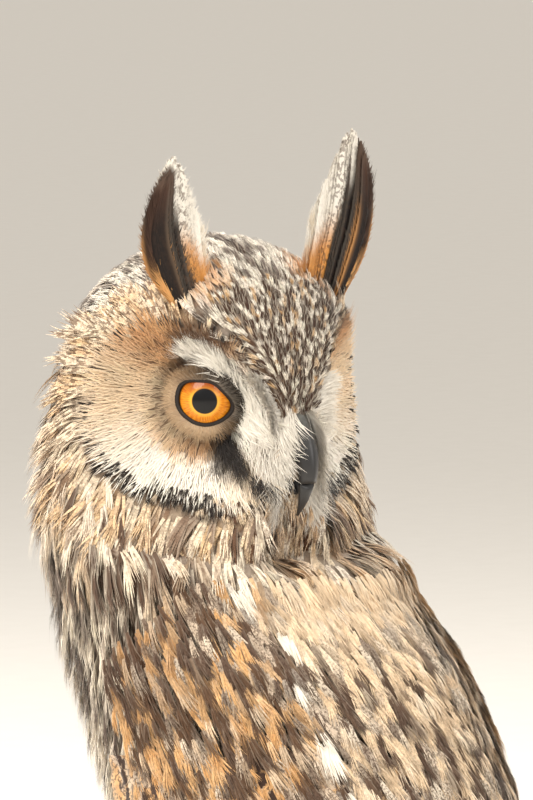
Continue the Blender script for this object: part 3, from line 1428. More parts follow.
@dataclass
class BodyCoat:
    """The plumage that grows from the skin, from the face to the toes."""

    seed: int = 21
    toe_floor: float = 0.0044
    ground_gap: float = 0.0040
    low_length: float = 0.0125

    def build(self, skin: bpy.types.Object) -> None:
        """Strew every kind of body feather.

        Args:
            skin: The skin's piece.
        """
        roots = Roots(skin)
        points, normals, zone = roots.points, roots.normals, roots.zone
        hanging = np.isin(zone, [Zone.BODY, Zone.NECK]) & (normals[:, 2] < 0.0)
        normals[hanging, 2] *= 0.15
        normals = unit(normals)
        lie = PLUMAGE.flow(points, normals, zone)
        marks = PLUMAGE.markings(points, zone, self.seed)
        soft = FeatherFinish("soft_feather", bars=1.0, barbs=3.0, dusk=0.14, sheen=0.12).material()
        back_soft = FeatherFinish("back_feather", bars=3.0, patches=0.4, teeth=0.14, barbs=22.0,
                                  dusk=0.35).material()
        small = FeatherFinish("small_feather", bars=2.0, grain=1400.0, lumps=500.0, barbs=12.0,
                              dusk=0.22, sheen=0.10).material()
        strand = FeatherFinish("strand", bars=1.0, grain=1400.0, barbs=3.0, dusk=0.12,
                               sheen=0.10).material()
        kinds = {kind: zone == kind for kind in Zone}
        covered = self.under_wings(points)
        design = points - HEAD.shift
        middle = section_at(TORSO_SECTIONS, design[:, 2])[0]
        back = design[:, 1] > middle + 0.005
        soft_patterns = [FeatherPattern("", seed=k, looseness=0.34, sweep=0.34, droop=0.15)
                         for k in range(4)]
        small_patterns = [FeatherPattern("", barbs=7, steps=2, seed=9 + k, looseness=0.30,
                                         spread=0.42, barb_width=1.5) for k in range(4)]
        plumes = [LockPattern("", strands=13, fan=0.22, width=0.046, steps=3, curl=0.05, droop=0.12,
                              seed=90 + k) for k in range(5)]
        brushes = [LockPattern("", strands=9, fan=0.22, width=0.052, steps=3, droop=0.30,
                               seed=80 + k) for k in range(5)]
        body = kinds[Zone.BODY] & ~covered
        stretches = (
            (Coat("breast_feathers", "body_feathers", plumes, 0.028, 0.0105, 0.0038,
                  0.04, seed=1), body & ~back, soft),
            (Coat("mantle_feathers", "body_feathers", soft_patterns, 0.034, 0.0140, 0.0048,
                  0.03, seed=2), body & back, back_soft),
            (Coat("neck_feathers", "body_feathers", plumes, 0.0180, 0.0085, 0.0030,
                  0.07, 0.14, seed=3), kinds[Zone.NECK], soft),
            (Coat("crown_feathers", "face_feathers", brushes, 0.0090, 0.0052, 0.0022,
                  0.08, 0.14, seed=4), kinds[Zone.CROWN], small),
            (Coat("forehead_feathers", "face_feathers", brushes, 0.0046, 0.0034, 0.0018,
                  0.05, 0.14, seed=5), kinds[Zone.FOREHEAD], small),
            (Coat("ruff_feathers", "face_feathers", brushes, 0.0125, 0.0082, 0.0028,
                  0.08, 0.16, seed=6), kinds[Zone.RUFF], small),
            (Coat("rim_feathers", "face_feathers", brushes, 0.0046, 0.0036, 0.0024,
                  0.05, seed=7), kinds[Zone.RIM], small),
            (Coat("leg_feathers", "foot_feathers", small_patterns, 0.0105, 0.0062, 0.0026,
                  0.03, seed=8), kinds[Zone.LEG], small),
            (Coat("foot_down", "foot_feathers", small_patterns, 0.0052, 0.0034, 0.0012,
                  0.10, seed=9), kinds[Zone.FOOT] & (points[:, 2] > self.toe_floor), small),
        )
        local = HEAD.read(points)
        on_head = local[:, 2] > HEAD_FLOOR
        sizes = 1.0 - 0.20 * (kinds[Zone.NECK] & on_head)
        sizes = sizes - 0.36 * kinds[Zone.BODY] * rise(points[:, 2], *UPPER_BREAST)
        # Feathers of legs and feet end above the floor
        low = kinds[Zone.LEG] | kinds[Zone.FOOT]
        lie[low, 2] = np.maximum(lie[low, 2], -(points[low, 2] - self.ground_gap) / self.low_length)
        lie = unit(lie)
        sizes = sizes + 0.30 * kinds[Zone.RUFF] * rise(local[:, 2], -0.008, -0.028)
        for coat, chosen, finish in stretches:
            rows = tuple(part[chosen] for part in marks)
            coat.build(finish, points[chosen], normals[chosen], lie[chosen], rows, sizes[chosen])
        self.discs(strand, points, normals, lie, marks, kinds[Zone.DISC])
        edge = (kinds[Zone.RUFF] | kinds[Zone.NECK]) & (local[:, 2] < -0.019) & (local[:, 2] > -0.042)
        chin = rise(np.abs(local[edge, 0]), 0.022, 0.008) * (local[edge, 1] < 0.0)
        self.collar(soft, plumes, points[edge], normals[edge], 1.0 - 0.55 * chin)
        fuller = kinds[Zone.RUFF] & (HEAD.share(local)[0] > 1.14) & (local[:, 2] < 0.020)
        fuller = fuller | (kinds[Zone.NECK] & on_head & (local[:, 2] > -0.024))
        fuller = np.flatnonzero(fuller)[::2]
        coat = Coat("outer_ruff", "face_feathers", brushes, 0.0150, 0.0090, 0.0030, -0.34, 0.16,
                    0.25, seed=44)
        coat.build(small, points[fuller], normals[fuller], lie[fuller],
                   tuple(part[fuller] for part in marks))

    @staticmethod
    def collar(finish: bpy.types.Material, patterns: list, points: Array, normals: Array,
               sizes: Array) -> None:
        """Hang soft feathers from the ruff's lower edge over the neck.

        Args:
            finish: The feathers' material.
            patterns: The tufts to strew.
            points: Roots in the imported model.
            normals: The skin's outward directions there.
            sizes: Shares of the feathers' length.
        """
        outwards = unit(normals * np.array([1.0, 1.0, 0.0]) + 1e-6)
        fall = unit(np.array([0.0, 0.0, -1.0]) + 0.10 * outwards)
        zone = np.full(len(points), Zone.NECK)
        marks = PLUMAGE.markings(points + 0.010 * fall, zone, 41)
        draw = np.random.default_rng(42)
        kept = draw.random(len(points)) < 0.60
        marks = tuple(part[kept] for part in marks)
        coat = Coat("collar_feathers", "face_feathers", patterns, 0.0195, 0.0078, 0.0030,
                    0.0, 0.12, 0.25, seed=43)
        coat.build(finish, points[kept], across_to(outwards, fall)[kept], fall[kept], marks,
                   sizes[kept])

    @staticmethod
    def discs(finish: bpy.types.Material, points: Array, normals: Array, lie: Array, marks: tuple,
              chosen: Array) -> None:
        """Strew the loose feathers of the two facial discs, one piece a side.

        Args:
            finish: The feathers' material.
            points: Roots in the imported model.
            normals: The skin's outward directions there.
            lie: The ways in which the feathers point.
            marks: Ground colours, mark colours and marks of the feathers.
            chosen: True where a root is a disc's.
        """
        local = HEAD.read(points)
        for side, word in ((1, "left"), (-1, "right")):
            picked = chosen & (np.sign(local[:, 0]) == side)
            reach = np.linalg.norm(local[picked] - HEAD.eye(side), axis=-1)
            sizes = 0.55 + 0.75 * rise(reach, 0.010, 0.032)
            sizes = sizes - 0.30 * rise(HEAD.share(local[picked])[0], 0.68, 0.80)
            patterns = [LockPattern("", strands=8, seed=30 + k, width=0.017) for k in range(4)]
            coat = Coat(f"disc_feathers_{word}", "face_feathers", patterns, 0.0110, 0.0115, 0.0020,
                        0.06, 0.12, seed=31 + side)
            rows = tuple(part[picked] for part in marks)
            coat.build(finish, points[picked], normals[picked], lie[picked], rows, sizes)

    @staticmethod
    def under_wings(points: Array) -> Array:
        """Tell which places lie under a folded wing.

        Args:
            points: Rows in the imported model.

        Returns:
            True where no feather is needed.
        """
        design = points - HEAD.shift
        middle = section_at(TORSO_SECTIONS, design[:, 2])[0]
        angle = np.degrees(np.arctan2(np.abs(design[:, 0]), -(design[:, 1] - middle)))
        low = design[:, 2] < 0.212
        high = design[:, 2] > 0.125
        front = 76.0 + 10.0 * rise(design[:, 2], 0.180, 0.205)
        return low & high & (angle > front) & (angle < 150.0)


@dataclass
class Eye:
    """One eyeball with its iris and the rim of its lids."""

    side: int
    word: str
    radius: float = EYE_RADIUS
    bulge: float = 0.0007
    iris: float = 0.0082
    pupil: float = 0.0037
    lid_outer: float = 0.0113
    lid_inner: float = 0.0100
    segments: int = 64

    def frame(self) -> tuple[Array, Array]:
        """Give the eye's own directions, in rows across, up and forward, and its middle."""
        forward = HEAD.axis(self.side)
        across = unit(np.cross(forward, np.array([0.0, 0.0, 1.0])))
        up = np.cross(across, forward)
        return np.stack((across, up, forward)), HEAD.eye(self.side)

    def ring(self, angle: Array | float, radius: float) -> Array:
        """Give a ring of points round the gaze.

        Args:
            angle: Angle from the gaze, one for each point of the ring or for all.
            radius: Distance from the eye's middle.

        Returns:
            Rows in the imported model.
        """
        axes, middle = self.frame()
        around = circle(self.segments)
        flat = radius * np.sin(angle)
        rows = as_rows(flat * np.cos(around), flat * np.sin(around), radius * np.cos(angle))
        return HEAD.place(rows @ axes + middle)

    def build(self) -> None:
        """Make the eyeball and the lids."""
        angles = np.concatenate((np.linspace(0.02, 1.0, 22), np.linspace(1.08, 3.10, 18)))
        rows, vanes = [], []
        around = circle(self.segments)
        for angle in angles:
            bulge = self.bulge * (1.0 - rise(angle, 0.5, 1.15))
            rows.append(self.ring(angle, self.radius + bulge))
            reach = self.radius * math.sin(angle) if angle < 1.5 else 0.02
            vanes.append(as_rows(reach * np.cos(around), reach * np.sin(around), angle))
        pile = MeshPile()
        points = np.concatenate(rows + [self.pole(0.0), self.pole(math.pi)])
        tips = np.array([[0.0, 0.0, 0.0], [0.0, 0.02, math.pi]])
        pile.add(points, tube_faces(len(angles), self.segments), **{VANE: np.concatenate(vanes + [tips])})
        mesh = pile.mesh(f"eyeball_{self.word}")
        face_outwards(mesh)
        show(mesh, f"eyeball_{self.word}", self.finish(), "eye", f"eye_{self.word}")
        self.lids()

    def pole(self, angle: float) -> Array:
        """Give the point of the eyeball at one end of the gaze."""
        axes, middle = self.frame()
        bulge = self.bulge if angle == 0.0 else 0.0
        return HEAD.place((math.cos(angle) * (self.radius + bulge) * axes[2] + middle)[None])

    def finish(self) -> bpy.types.Material:
        """Make the wet finish with iris and pupil.

        Returns:
            The material.
        """
        g = Graph(f"eye_{self.word}")
        x, y, _ = g.split(g.attribute(VANE, "Vector"))
        reach = g.math("SQRT", g.plus(g.times(x, x), g.times(y, y)))
        around = g.math("ARCTAN2", y, x)
        rays = g.noise(g.join(g.times(around, 6.0), g.times(reach, 120.0), 0.0),
                       3.0, 3.0)
        amber = g.mix(tuple(linear((0.93, 0.61, 0.15))), tuple(linear((0.79, 0.40, 0.08))),
                      g.smooth(rays, 0.35, 0.7))
        inner = g.mix(tuple(linear((0.95, 0.69, 0.23))), amber, g.smooth(reach, 0.0038, 0.0052))
        upper = g.times(g.smooth(y, 0.0002, 0.0052), 0.85)
        inner = g.mix(inner, tuple(linear((0.50, 0.17, 0.03))), upper)
        edge = g.smooth(reach, self.iris - 0.0011, self.iris)
        colour = g.mix(inner, tuple(linear((0.09, 0.05, 0.04))), edge)
        hole = g.smooth(reach, self.pupil + 0.00018, self.pupil - 0.00018)
        colour = g.mix(colour, (0.002, 0.002, 0.003), hole)
        g.finish(colour, rays, 0.10, 0.0002)
        g.constants(Roughness=0.30, Coat_Weight=0.6, Coat_Roughness=0.02, Coat_IOR=1.40,
                    Specular_IOR_Level=0.15)
        return g.material

    def lids(self) -> None:
        """Make the dark rim of the lids as one closed ring round the eye."""
        around = circle(self.segments)
        up = np.sin(around)
        inward = self.side * np.cos(around)
        opening = np.radians(55.0 - 22.0 * rise(up + 0.35 * inward, 0.0, 1.0)
                             - 10.0 * rise(-up, 0.2, 1.0))
        inner, outer = self.lid_inner, self.lid_outer
        profile = ((0.0, inner), (-0.030, 0.5 * (inner + outer) - 0.0003), (0.030, outer - 0.0003),
                   (0.13, outer + 0.0002), (0.32, outer + 0.0001), (0.60, outer - 0.0003),
                   (0.85, inner), (0.40, inner - 0.0001))
        points = np.concatenate([self.ring(opening + step, radius) for step, radius in profile])
        faces = grid_faces(len(profile) + 1, self.segments, closed=True)
        faces = np.where(faces >= len(points), faces - len(points), faces)
        vane = np.concatenate([as_rows(up, step + 0.1, 0.0) for step, _ in profile])
        pile = MeshPile()
        pile.add(points, faces, **{VANE: vane})
        mesh = pile.mesh(f"lids_{self.word}")
        face_outwards(mesh)
        g = Graph(f"lid_skin_{self.word}")
        grain = g.noise(g.place(), 1800.0, 3.0)
        colour = g.mix(tuple(linear((0.07, 0.05, 0.045))), tuple(linear((0.22, 0.17, 0.15))),
                       g.times(grain, 0.5))
        g.finish(colour, grain, 0.5, 0.0003)
        g.constants(Roughness=0.55, Specular_IOR_Level=0.4)
        show(mesh, f"lids_{self.word}", g.material, "eye")
        self.lashes([self.ring(opening + step, outer) for step in (0.045, 0.22)])

    def lashes(self, rows: list) -> None:
        """Grow rows of short feathers from the lids, over the ring's outer part.

        Args:
            rows: Rings of roots, the nearest to the lids' edge first.
        """
        near, far = rows
        axes = self.frame()[0]
        around = circle(self.segments)
        outwards = HEAD.direct(np.cos(around)[:, None] * axes[0] + np.sin(around)[:, None] * axes[1])
        forward = HEAD.direct(axes[2:])
        points = np.concatenate((near, 0.5 * (near + np.roll(near, 1, axis=0)), far))
        lie = unit(np.tile(outwards, (3, 1)) - 0.25 * forward)
        normals = across_to(np.tile(forward, (len(points), 1)), lie)
        zone = np.full(len(points), Zone.DISC)
        marks = PLUMAGE.markings(points + 0.0022 * lie, zone, 77)
        inner = np.tile(rise(self.side * np.cos(around) + 0.6 * np.sin(around), 0.9, -0.6), 3)
        warm = 0.65 * PLUMAGE.brown + 0.35 * PLUMAGE.buff
        marks[0][:, :3] = blend(marks[0][:, :3], warm, 0.60)
        marks[0][:, :3] = blend(marks[0][:, :3], 0.7 * PLUMAGE.black, 0.96 * (1.0 - inner))
        finish = FeatherFinish(f"lash_{self.word}", bars=1.0, barbs=2.0, dusk=0.3,
                               sheen=0.0).material()
        patterns = [LockPattern("", strands=8, fan=0.40, width=0.030, seed=96 + k) for k in range(3)]
        coat = Coat(f"lashes_{self.word}", "face_feathers", patterns, 0.0044, 0.0046, 0.0008,
                    0.0, 0.10, seed=97)
        coat.build(finish, points, normals, lie, marks)


def face_outwards(mesh: bpy.types.Mesh) -> None:
    """Turn a closed mesh's faces outwards, its doubles merged first."""
    work = bmesh.new()
    work.from_mesh(mesh)
    bmesh.ops.remove_doubles(work, verts=work.verts, dist=1e-7)
    bmesh.ops.recalc_face_normals(work, faces=work.faces)
    work.to_mesh(mesh)
    work.free()
    mesh.shade_smooth()


@dataclass
class Bill:
    """The hooked upper bill and the lower bill inside it."""

    upper: tuple = (
        (0.0380, -0.0020, 0.0054, 0.0058),
        (0.0470, -0.0050, 0.0050, 0.0054),
        (0.0530, -0.0115, 0.0041, 0.0041),
        (0.0550, -0.0192, 0.0028, 0.0030),
        (0.0535, -0.0264, 0.0014, 0.0016),
        (0.0513, -0.0306, 0.0004, 0.0005),
    )
    lower: tuple = (
        (0.0360, -0.0170, 0.0052, 0.0026),
        (0.0430, -0.0190, 0.0046, 0.0024),
        (0.0482, -0.0215, 0.0034, 0.0017),
        (0.0502, -0.0240, 0.0012, 0.0008),
    )
    rings: int = 26
    sides: int = 32
    ridge: float = 0.12
    flatness: float = 0.45

    def build(self) -> None:
        """Make both halves."""
        finish = horn_finish("bill_horn", (0.13, 0.125, 0.13), (0.40, 0.40, 0.38))
        self.half("upper_bill", self.upper, True, finish, "bill_upper")
        self.half("lower_bill", self.lower, False, finish, "bill_lower")

    def half(self, name: str, sections: tuple, is_upper: bool, finish: bpy.types.Material,
             node: str) -> None:
        """Loft one half along its bent middle line.

        Args:
            name: The piece's name.
            sections: Forward and upward place, half width and half height.
            is_upper: Whether it is the upper half.
            finish: Its material.
            node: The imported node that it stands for.
        """
        table = np.array(sections)
        steps = np.concatenate(([0.0], np.cumsum(np.hypot(np.diff(table[:, 0]), np.diff(table[:, 1])))))
        t = np.linspace(0.0, steps[-1], self.rings)
        forward, up, wide, tall = (smooth_between(t, steps, table[:, k]) for k in range(4))
        way = unit(as_rows(0.0, -np.gradient(forward), np.gradient(up)))
        across = np.array([1.0, 0.0, 0.0])
        top = np.cross(across, way)
        top = np.where(top[:, 2:] < 0.0, -top, top)
        around = circle(self.sides)
        lift = np.sin(around)
        lift = np.where(lift < 0.0, lift * self.flatness, lift) if is_upper else lift
        crest = 1.0 + self.ridge * np.exp(-((around - math.pi / 2.0) / 0.35) ** 2) * is_upper
        middle = as_rows(0.0, -forward, up)
        points = (middle[:, None] + across * (wide[:, None] * np.cos(around))[..., None]
                  + top[:, None] * (tall[:, None] * lift * crest)[..., None]).reshape(-1, 3)
        total = self.rings * self.sides
        vane = np.zeros((total + 2, 3))
        vane[:total, 1] = np.repeat(t / steps[-1], self.sides)
        vane[:total, 0] = np.tile(lift, self.rings)
        vane[total + 1, 1] = 1.0
        pile = MeshPile()
        pile.add(HEAD.place(np.concatenate((points, middle[:1], middle[-1:]))),
                 tube_faces(self.rings, self.sides), **{VANE: vane})
        mesh = pile.mesh(name)
        face_outwards(mesh)
        show(mesh, name, finish, "bill_and_claws", node)


def horn_finish(name: str, dark: Colour, pale: Colour) -> bpy.types.Material:
    """Make the satin finish of bill and claws, paler at the root.

    Args:
        name: The material's name.
        dark: Screen colour of the tip.
        pale: Screen colour of the root.

    Returns:
        The material.
    """
    g = Graph(name)
    _, y, _ = g.split(g.attribute(VANE, "Vector"))
    grain = g.noise(g.place(), 900.0, 4.0)
    share = g.smooth(g.plus(y, g.times(grain, 0.2)), 0.15, 0.6)
    colour = g.mix(tuple(linear(pale)), tuple(linear(dark)), share)
    colour = g.mix(colour, tuple(linear(dark)), g.times(g.smooth(grain, 0.5, 0.7), 0.4))
    g.finish(colour, grain, 0.25, 0.0002)
    g.constants(Roughness=0.38, Coat_Weight=0.25, Coat_Roughness=0.3)
    return g.material


@dataclass(frozen=True)
class Tier:
    """One row of a wing's feathers, from the wing's front edge to its back edge."""

    name: str
    count: int
    root_heights: tuple
    root_angles: tuple
    tip_heights: tuple
    tip_angles: tuple
    root_offset: float
    tip_offset: float
    is_long: bool
    fullness: float = 0.85
    least: float = 0.0052


@dataclass
class Blades:
    """Shapes long feathers on a surface: lanes across, stations along, and a fringe of barb ends."""

    stations: int = 22
    short_stations: int = 14
    lanes: tuple = (-1.0, -0.72, -0.42, -0.16, -0.03, 0.03, 0.16, 0.42, 0.72, 1.0)
    camber: float = 0.05
    fringe: int = 34
    short_fringe: int = 22
    fringe_reach: float = 0.16

    def outline(self, t: Array, blunt: float) -> Array:
        """Give a blade's half width as a share, at shares of its length.

        Args:
            t: Shares of the length.
            blunt: How late it narrows to its tip.

        Returns:
            Shares of the greatest half width.
        """
        root = 0.55 + 0.45 * rise(t, 0.0, 0.35)
        tip = np.sqrt(np.clip(1.0 - (np.clip(t - blunt, 0.0, 1.0) / (1.0 - blunt)) ** 2.2, 0.0, 1.0))
        return root * np.maximum(tip, 0.03)


@dataclass
class Wing:
    """One folded wing: tiers of feathers laid over the flank, from long quills to shoulder."""

    side: int
    word: str
    seed: int = 5
    tiers: tuple = (
        Tier("primary", 9, (0.146, 0.142, 0.137), (70, 106), (0.009, 0.024, 0.062), (118, 140),
             0.0010, 0.0012, True),
        Tier("secondary", 14, (0.155, 0.157, 0.156), (66, 152), (0.118, 0.084, 0.104), (76, 172),
             0.0027, 0.0030, True),
        Tier("greater_covert", 14, (0.171, 0.173, 0.172), (65, 150), (0.136, 0.124, 0.138),
             (70, 162), 0.0044, 0.0050, False, 1.05),
        Tier("median_covert", 14, (0.187, 0.189, 0.188), (67, 147), (0.154, 0.148, 0.160),
             (69, 156), 0.0060, 0.0068, False, 1.10),
    )

    def line(self, tier: Tier, share: float, t: Array, stretch: float) -> tuple[Array, Array]:
        """Give heights and angles along the middle of one feather.

        Args:
            tier: The feather's row.
            share: Its place in the row, 0 at the front.
            t: Shares of its length.
            stretch: Its length against the row's.

        Returns:
            Heights and angles.
        """
        roots = smooth_between(share, (0.0, 0.5, 1.0), tier.root_heights)
        tips = smooth_between(share, (0.0, 0.5, 1.0), tier.tip_heights)
        tips = roots + (tips - roots) * stretch
        root_angle = tier.root_angles[0] + (tier.root_angles[1] - tier.root_angles[0]) * share
        tip_angle = tier.tip_angles[0] + (tier.tip_angles[1] - tier.tip_angles[0]) * share
        return roots + (tips - roots) * t, np.radians(root_angle + (tip_angle - root_angle) * t)

    def build(self, finish: bpy.types.Material, shape: Blades) -> None:
        """Make the wing's feathers as one piece.

        Args:
            finish: Their material.
            shape: How their blades are shaped.
        """
        draw = np.random.default_rng(self.seed)
        pile = MeshPile()
        for tier in self.tiers:
            for index in range(tier.count):
                self.feather(pile, tier, index, draw, shape)
        mesh = pile.mesh(f"wing_feathers_{self.word}")
        show(mesh, f"wing_feathers_{self.word}", finish, "wing_feathers", f"wing_{self.word}")

    def feather(self, pile: MeshPile, tier: Tier, index: int, draw: np.random.Generator,
                shape: Blades) -> None:
        """Add one feather that follows the wing's surface.

        Args:
            pile: Where it goes.
            tier: Its row.
            index: Its number in the row.
            draw: Source of the small differences.
            shape: How its blade is shaped.
        """
        last = tier.count - 1
        share = index / last
        near = (index - 1 if index == last else index + 1) / last
        stretch = 1.0 + (0.06 if tier.is_long else 0.16) * (draw.random() - 0.5)
        stations = shape.stations if tier.is_long else shape.short_stations
        t = np.linspace(0.0, 1.0, stations)
        height, angle = self.line(tier, share, t, stretch)
        if not tier.is_long:
            height = height + 0.0030 * (draw.random() - 0.5)
            angle = angle + np.radians(3.0) * (draw.random() - 0.5) * (0.4 + t)
        near_height, near_angle = self.line(tier, near, t, 1.0)
        half_width, half_depth = section_at(WING_SECTIONS, height)[1:]
        radius = np.hypot(half_width * np.cos(angle), half_depth * np.sin(angle))
        way = unit(as_rows(np.gradient(height), np.gradient(angle) * radius))
        aside = as_rows(way[:, 1], -way[:, 0])
        gap = as_rows(near_height - height, (near_angle - angle) * radius)
        spacing = np.abs(np.sum(gap * aside, axis=-1))
        full = np.maximum(tier.fullness * spacing, 0.0046 if tier.is_long else tier.least)
        full = full * shape.outline(t, 0.80 if tier.is_long else 0.62)
        lift = tier.root_offset + (tier.tip_offset - tier.root_offset) * rise(t, 0.0, 0.65)
        if tier.name == "primary":
            lift = lift + 0.00055 * index * rise(height, 0.088, 0.060)
        lift = lift + 0.0003 * (draw.random() - 0.5)
        lanes = np.array(shape.lanes)
        tilt = 0.00060 if tier.is_long else 0.00075
        reach = full[:, None] * lanes
        curve = shape.camber * full[:, None] * (1.0 - lanes ** 2)
        shaft = 0.00025 * (np.abs(lanes) < 0.05)
        offset = lift[:, None] - tilt * lanes * (full / full.max())[:, None] + curve + shaft
        place_height = height[:, None] + aside[:, 0:1] * reach
        place_angle = angle[:, None] + aside[:, 1:2] * reach / radius[:, None]
        points = point_on(WING_SECTIONS, place_height, place_angle, offset, self.side)
        points = points.reshape(-1, 3) + HEAD.shift
        faces = grid_faces(stations, len(lanes))
        if self.side > 0:
            faces = faces[:, ::-1]
        values = self.marks(points[len(points) // 2][None], tier, draw)
        vane = as_rows(np.tile(lanes, stations), np.repeat(t, len(lanes)), 0.0)
        pile.lay(points, faces, vane, values)
        self.fringe(pile, points.reshape(stations, len(lanes), 3), t, full, values, draw, shape)

    @staticmethod
    def marks(root: Array, tier: Tier, draw: np.random.Generator) -> tuple:
        """Choose one feather's colours.

        Args:
            root: A place on it.
            tier: Its row.
            draw: Source of the small differences, seven numbers for each feather.

        Returns:
            Ground, marks' colour, marks, chance, and place on the flat map.
        """
        kinds = PLUMAGE
        choice, shade, streak, rim, _, depth, chance = draw.random(7)
        warm = 0.50 * kinds.buff + 0.50 * kinds.tawny
        ground = warm if choice < 0.65 else 0.35 * kinds.grey + 0.65 * kinds.buff
        ground = ground * (0.88 + 0.28 * shade)
        marks = np.array([0.30 + 0.22 * streak, 0.25, 0.75])
        edge = 0.10 + 0.25 * rim
        if tier.is_long:
            ground = 0.60 * kinds.buff + 0.25 * kinds.grey + 0.15 * kinds.tawny
            marks = np.array([0.10, 0.90, 0.55])
            edge = 0.25
        tone = np.append(np.clip(ground, 0.0, 1.0), edge)
        ink = np.append(kinds.dark * (0.7 + 0.5 * depth), 0.0)
        return tone, ink, marks, chance, Unwrap.lay(root)[0]

    def fringe(self, pile: MeshPile, grid: Array, t: Array, full: Array, values: tuple,
               draw: np.random.Generator, shape: Blades) -> None:
        """Add the free ends of the barbs along both edges and the tip.

        Args:
            pile: Where they go.
            grid: The blade's points, stations by lanes.
            t: Shares of the length.
            full: Half widths.
            values: The feather's colours.
            draw: Source of the small differences.
            shape: How the blade is shaped.
        """
        stations, lanes = grid.shape[:2]
        for column, sign in ((0, -1.0), (lanes - 1, 1.0)):
            inner_column = 1 if column == 0 else lanes - 2
            count = shape.fringe if stations > shape.short_stations else shape.short_fringe
            low = 0.15 + 0.83 * (np.arange(count) + 0.5 * draw.random(count)) / count
            width = 1.5 * 0.85 / count
            ends = []
            for at in (low, low + width):
                edge = rows_at(at, t, grid[:, column])
                inner = rows_at(at, t, grid[:, inner_column])
                ends.append(edge * 0.8 + inner * 0.2)
                ahead = rows_at(at + 0.05, t, grid[:, column]) - edge
                outwards = edge - inner
            length = np.interp(low, t, full) * shape.fringe_reach * (0.5 + draw.random(count))
            way = unit(unit(outwards) + 1.3 * unit(ahead + 1e-9))
            tips = 0.5 * (ends[0] + ends[1]) + way * (length + 0.0006)[:, None]
            points = np.stack((ends[0], ends[1], tips), axis=1).reshape(-1, 3)
            faces = np.arange(3 * count).reshape(-1, 3)
            if sign * self.side > 0:
                faces = faces[:, ::-1]
            x = np.tile(sign * np.array([0.9, 0.9, 1.05]), count)
            y = as_rows(low, low + width, low + width).ravel()
            pile.lay(points, faces, as_rows(x, y, 0.0), values)


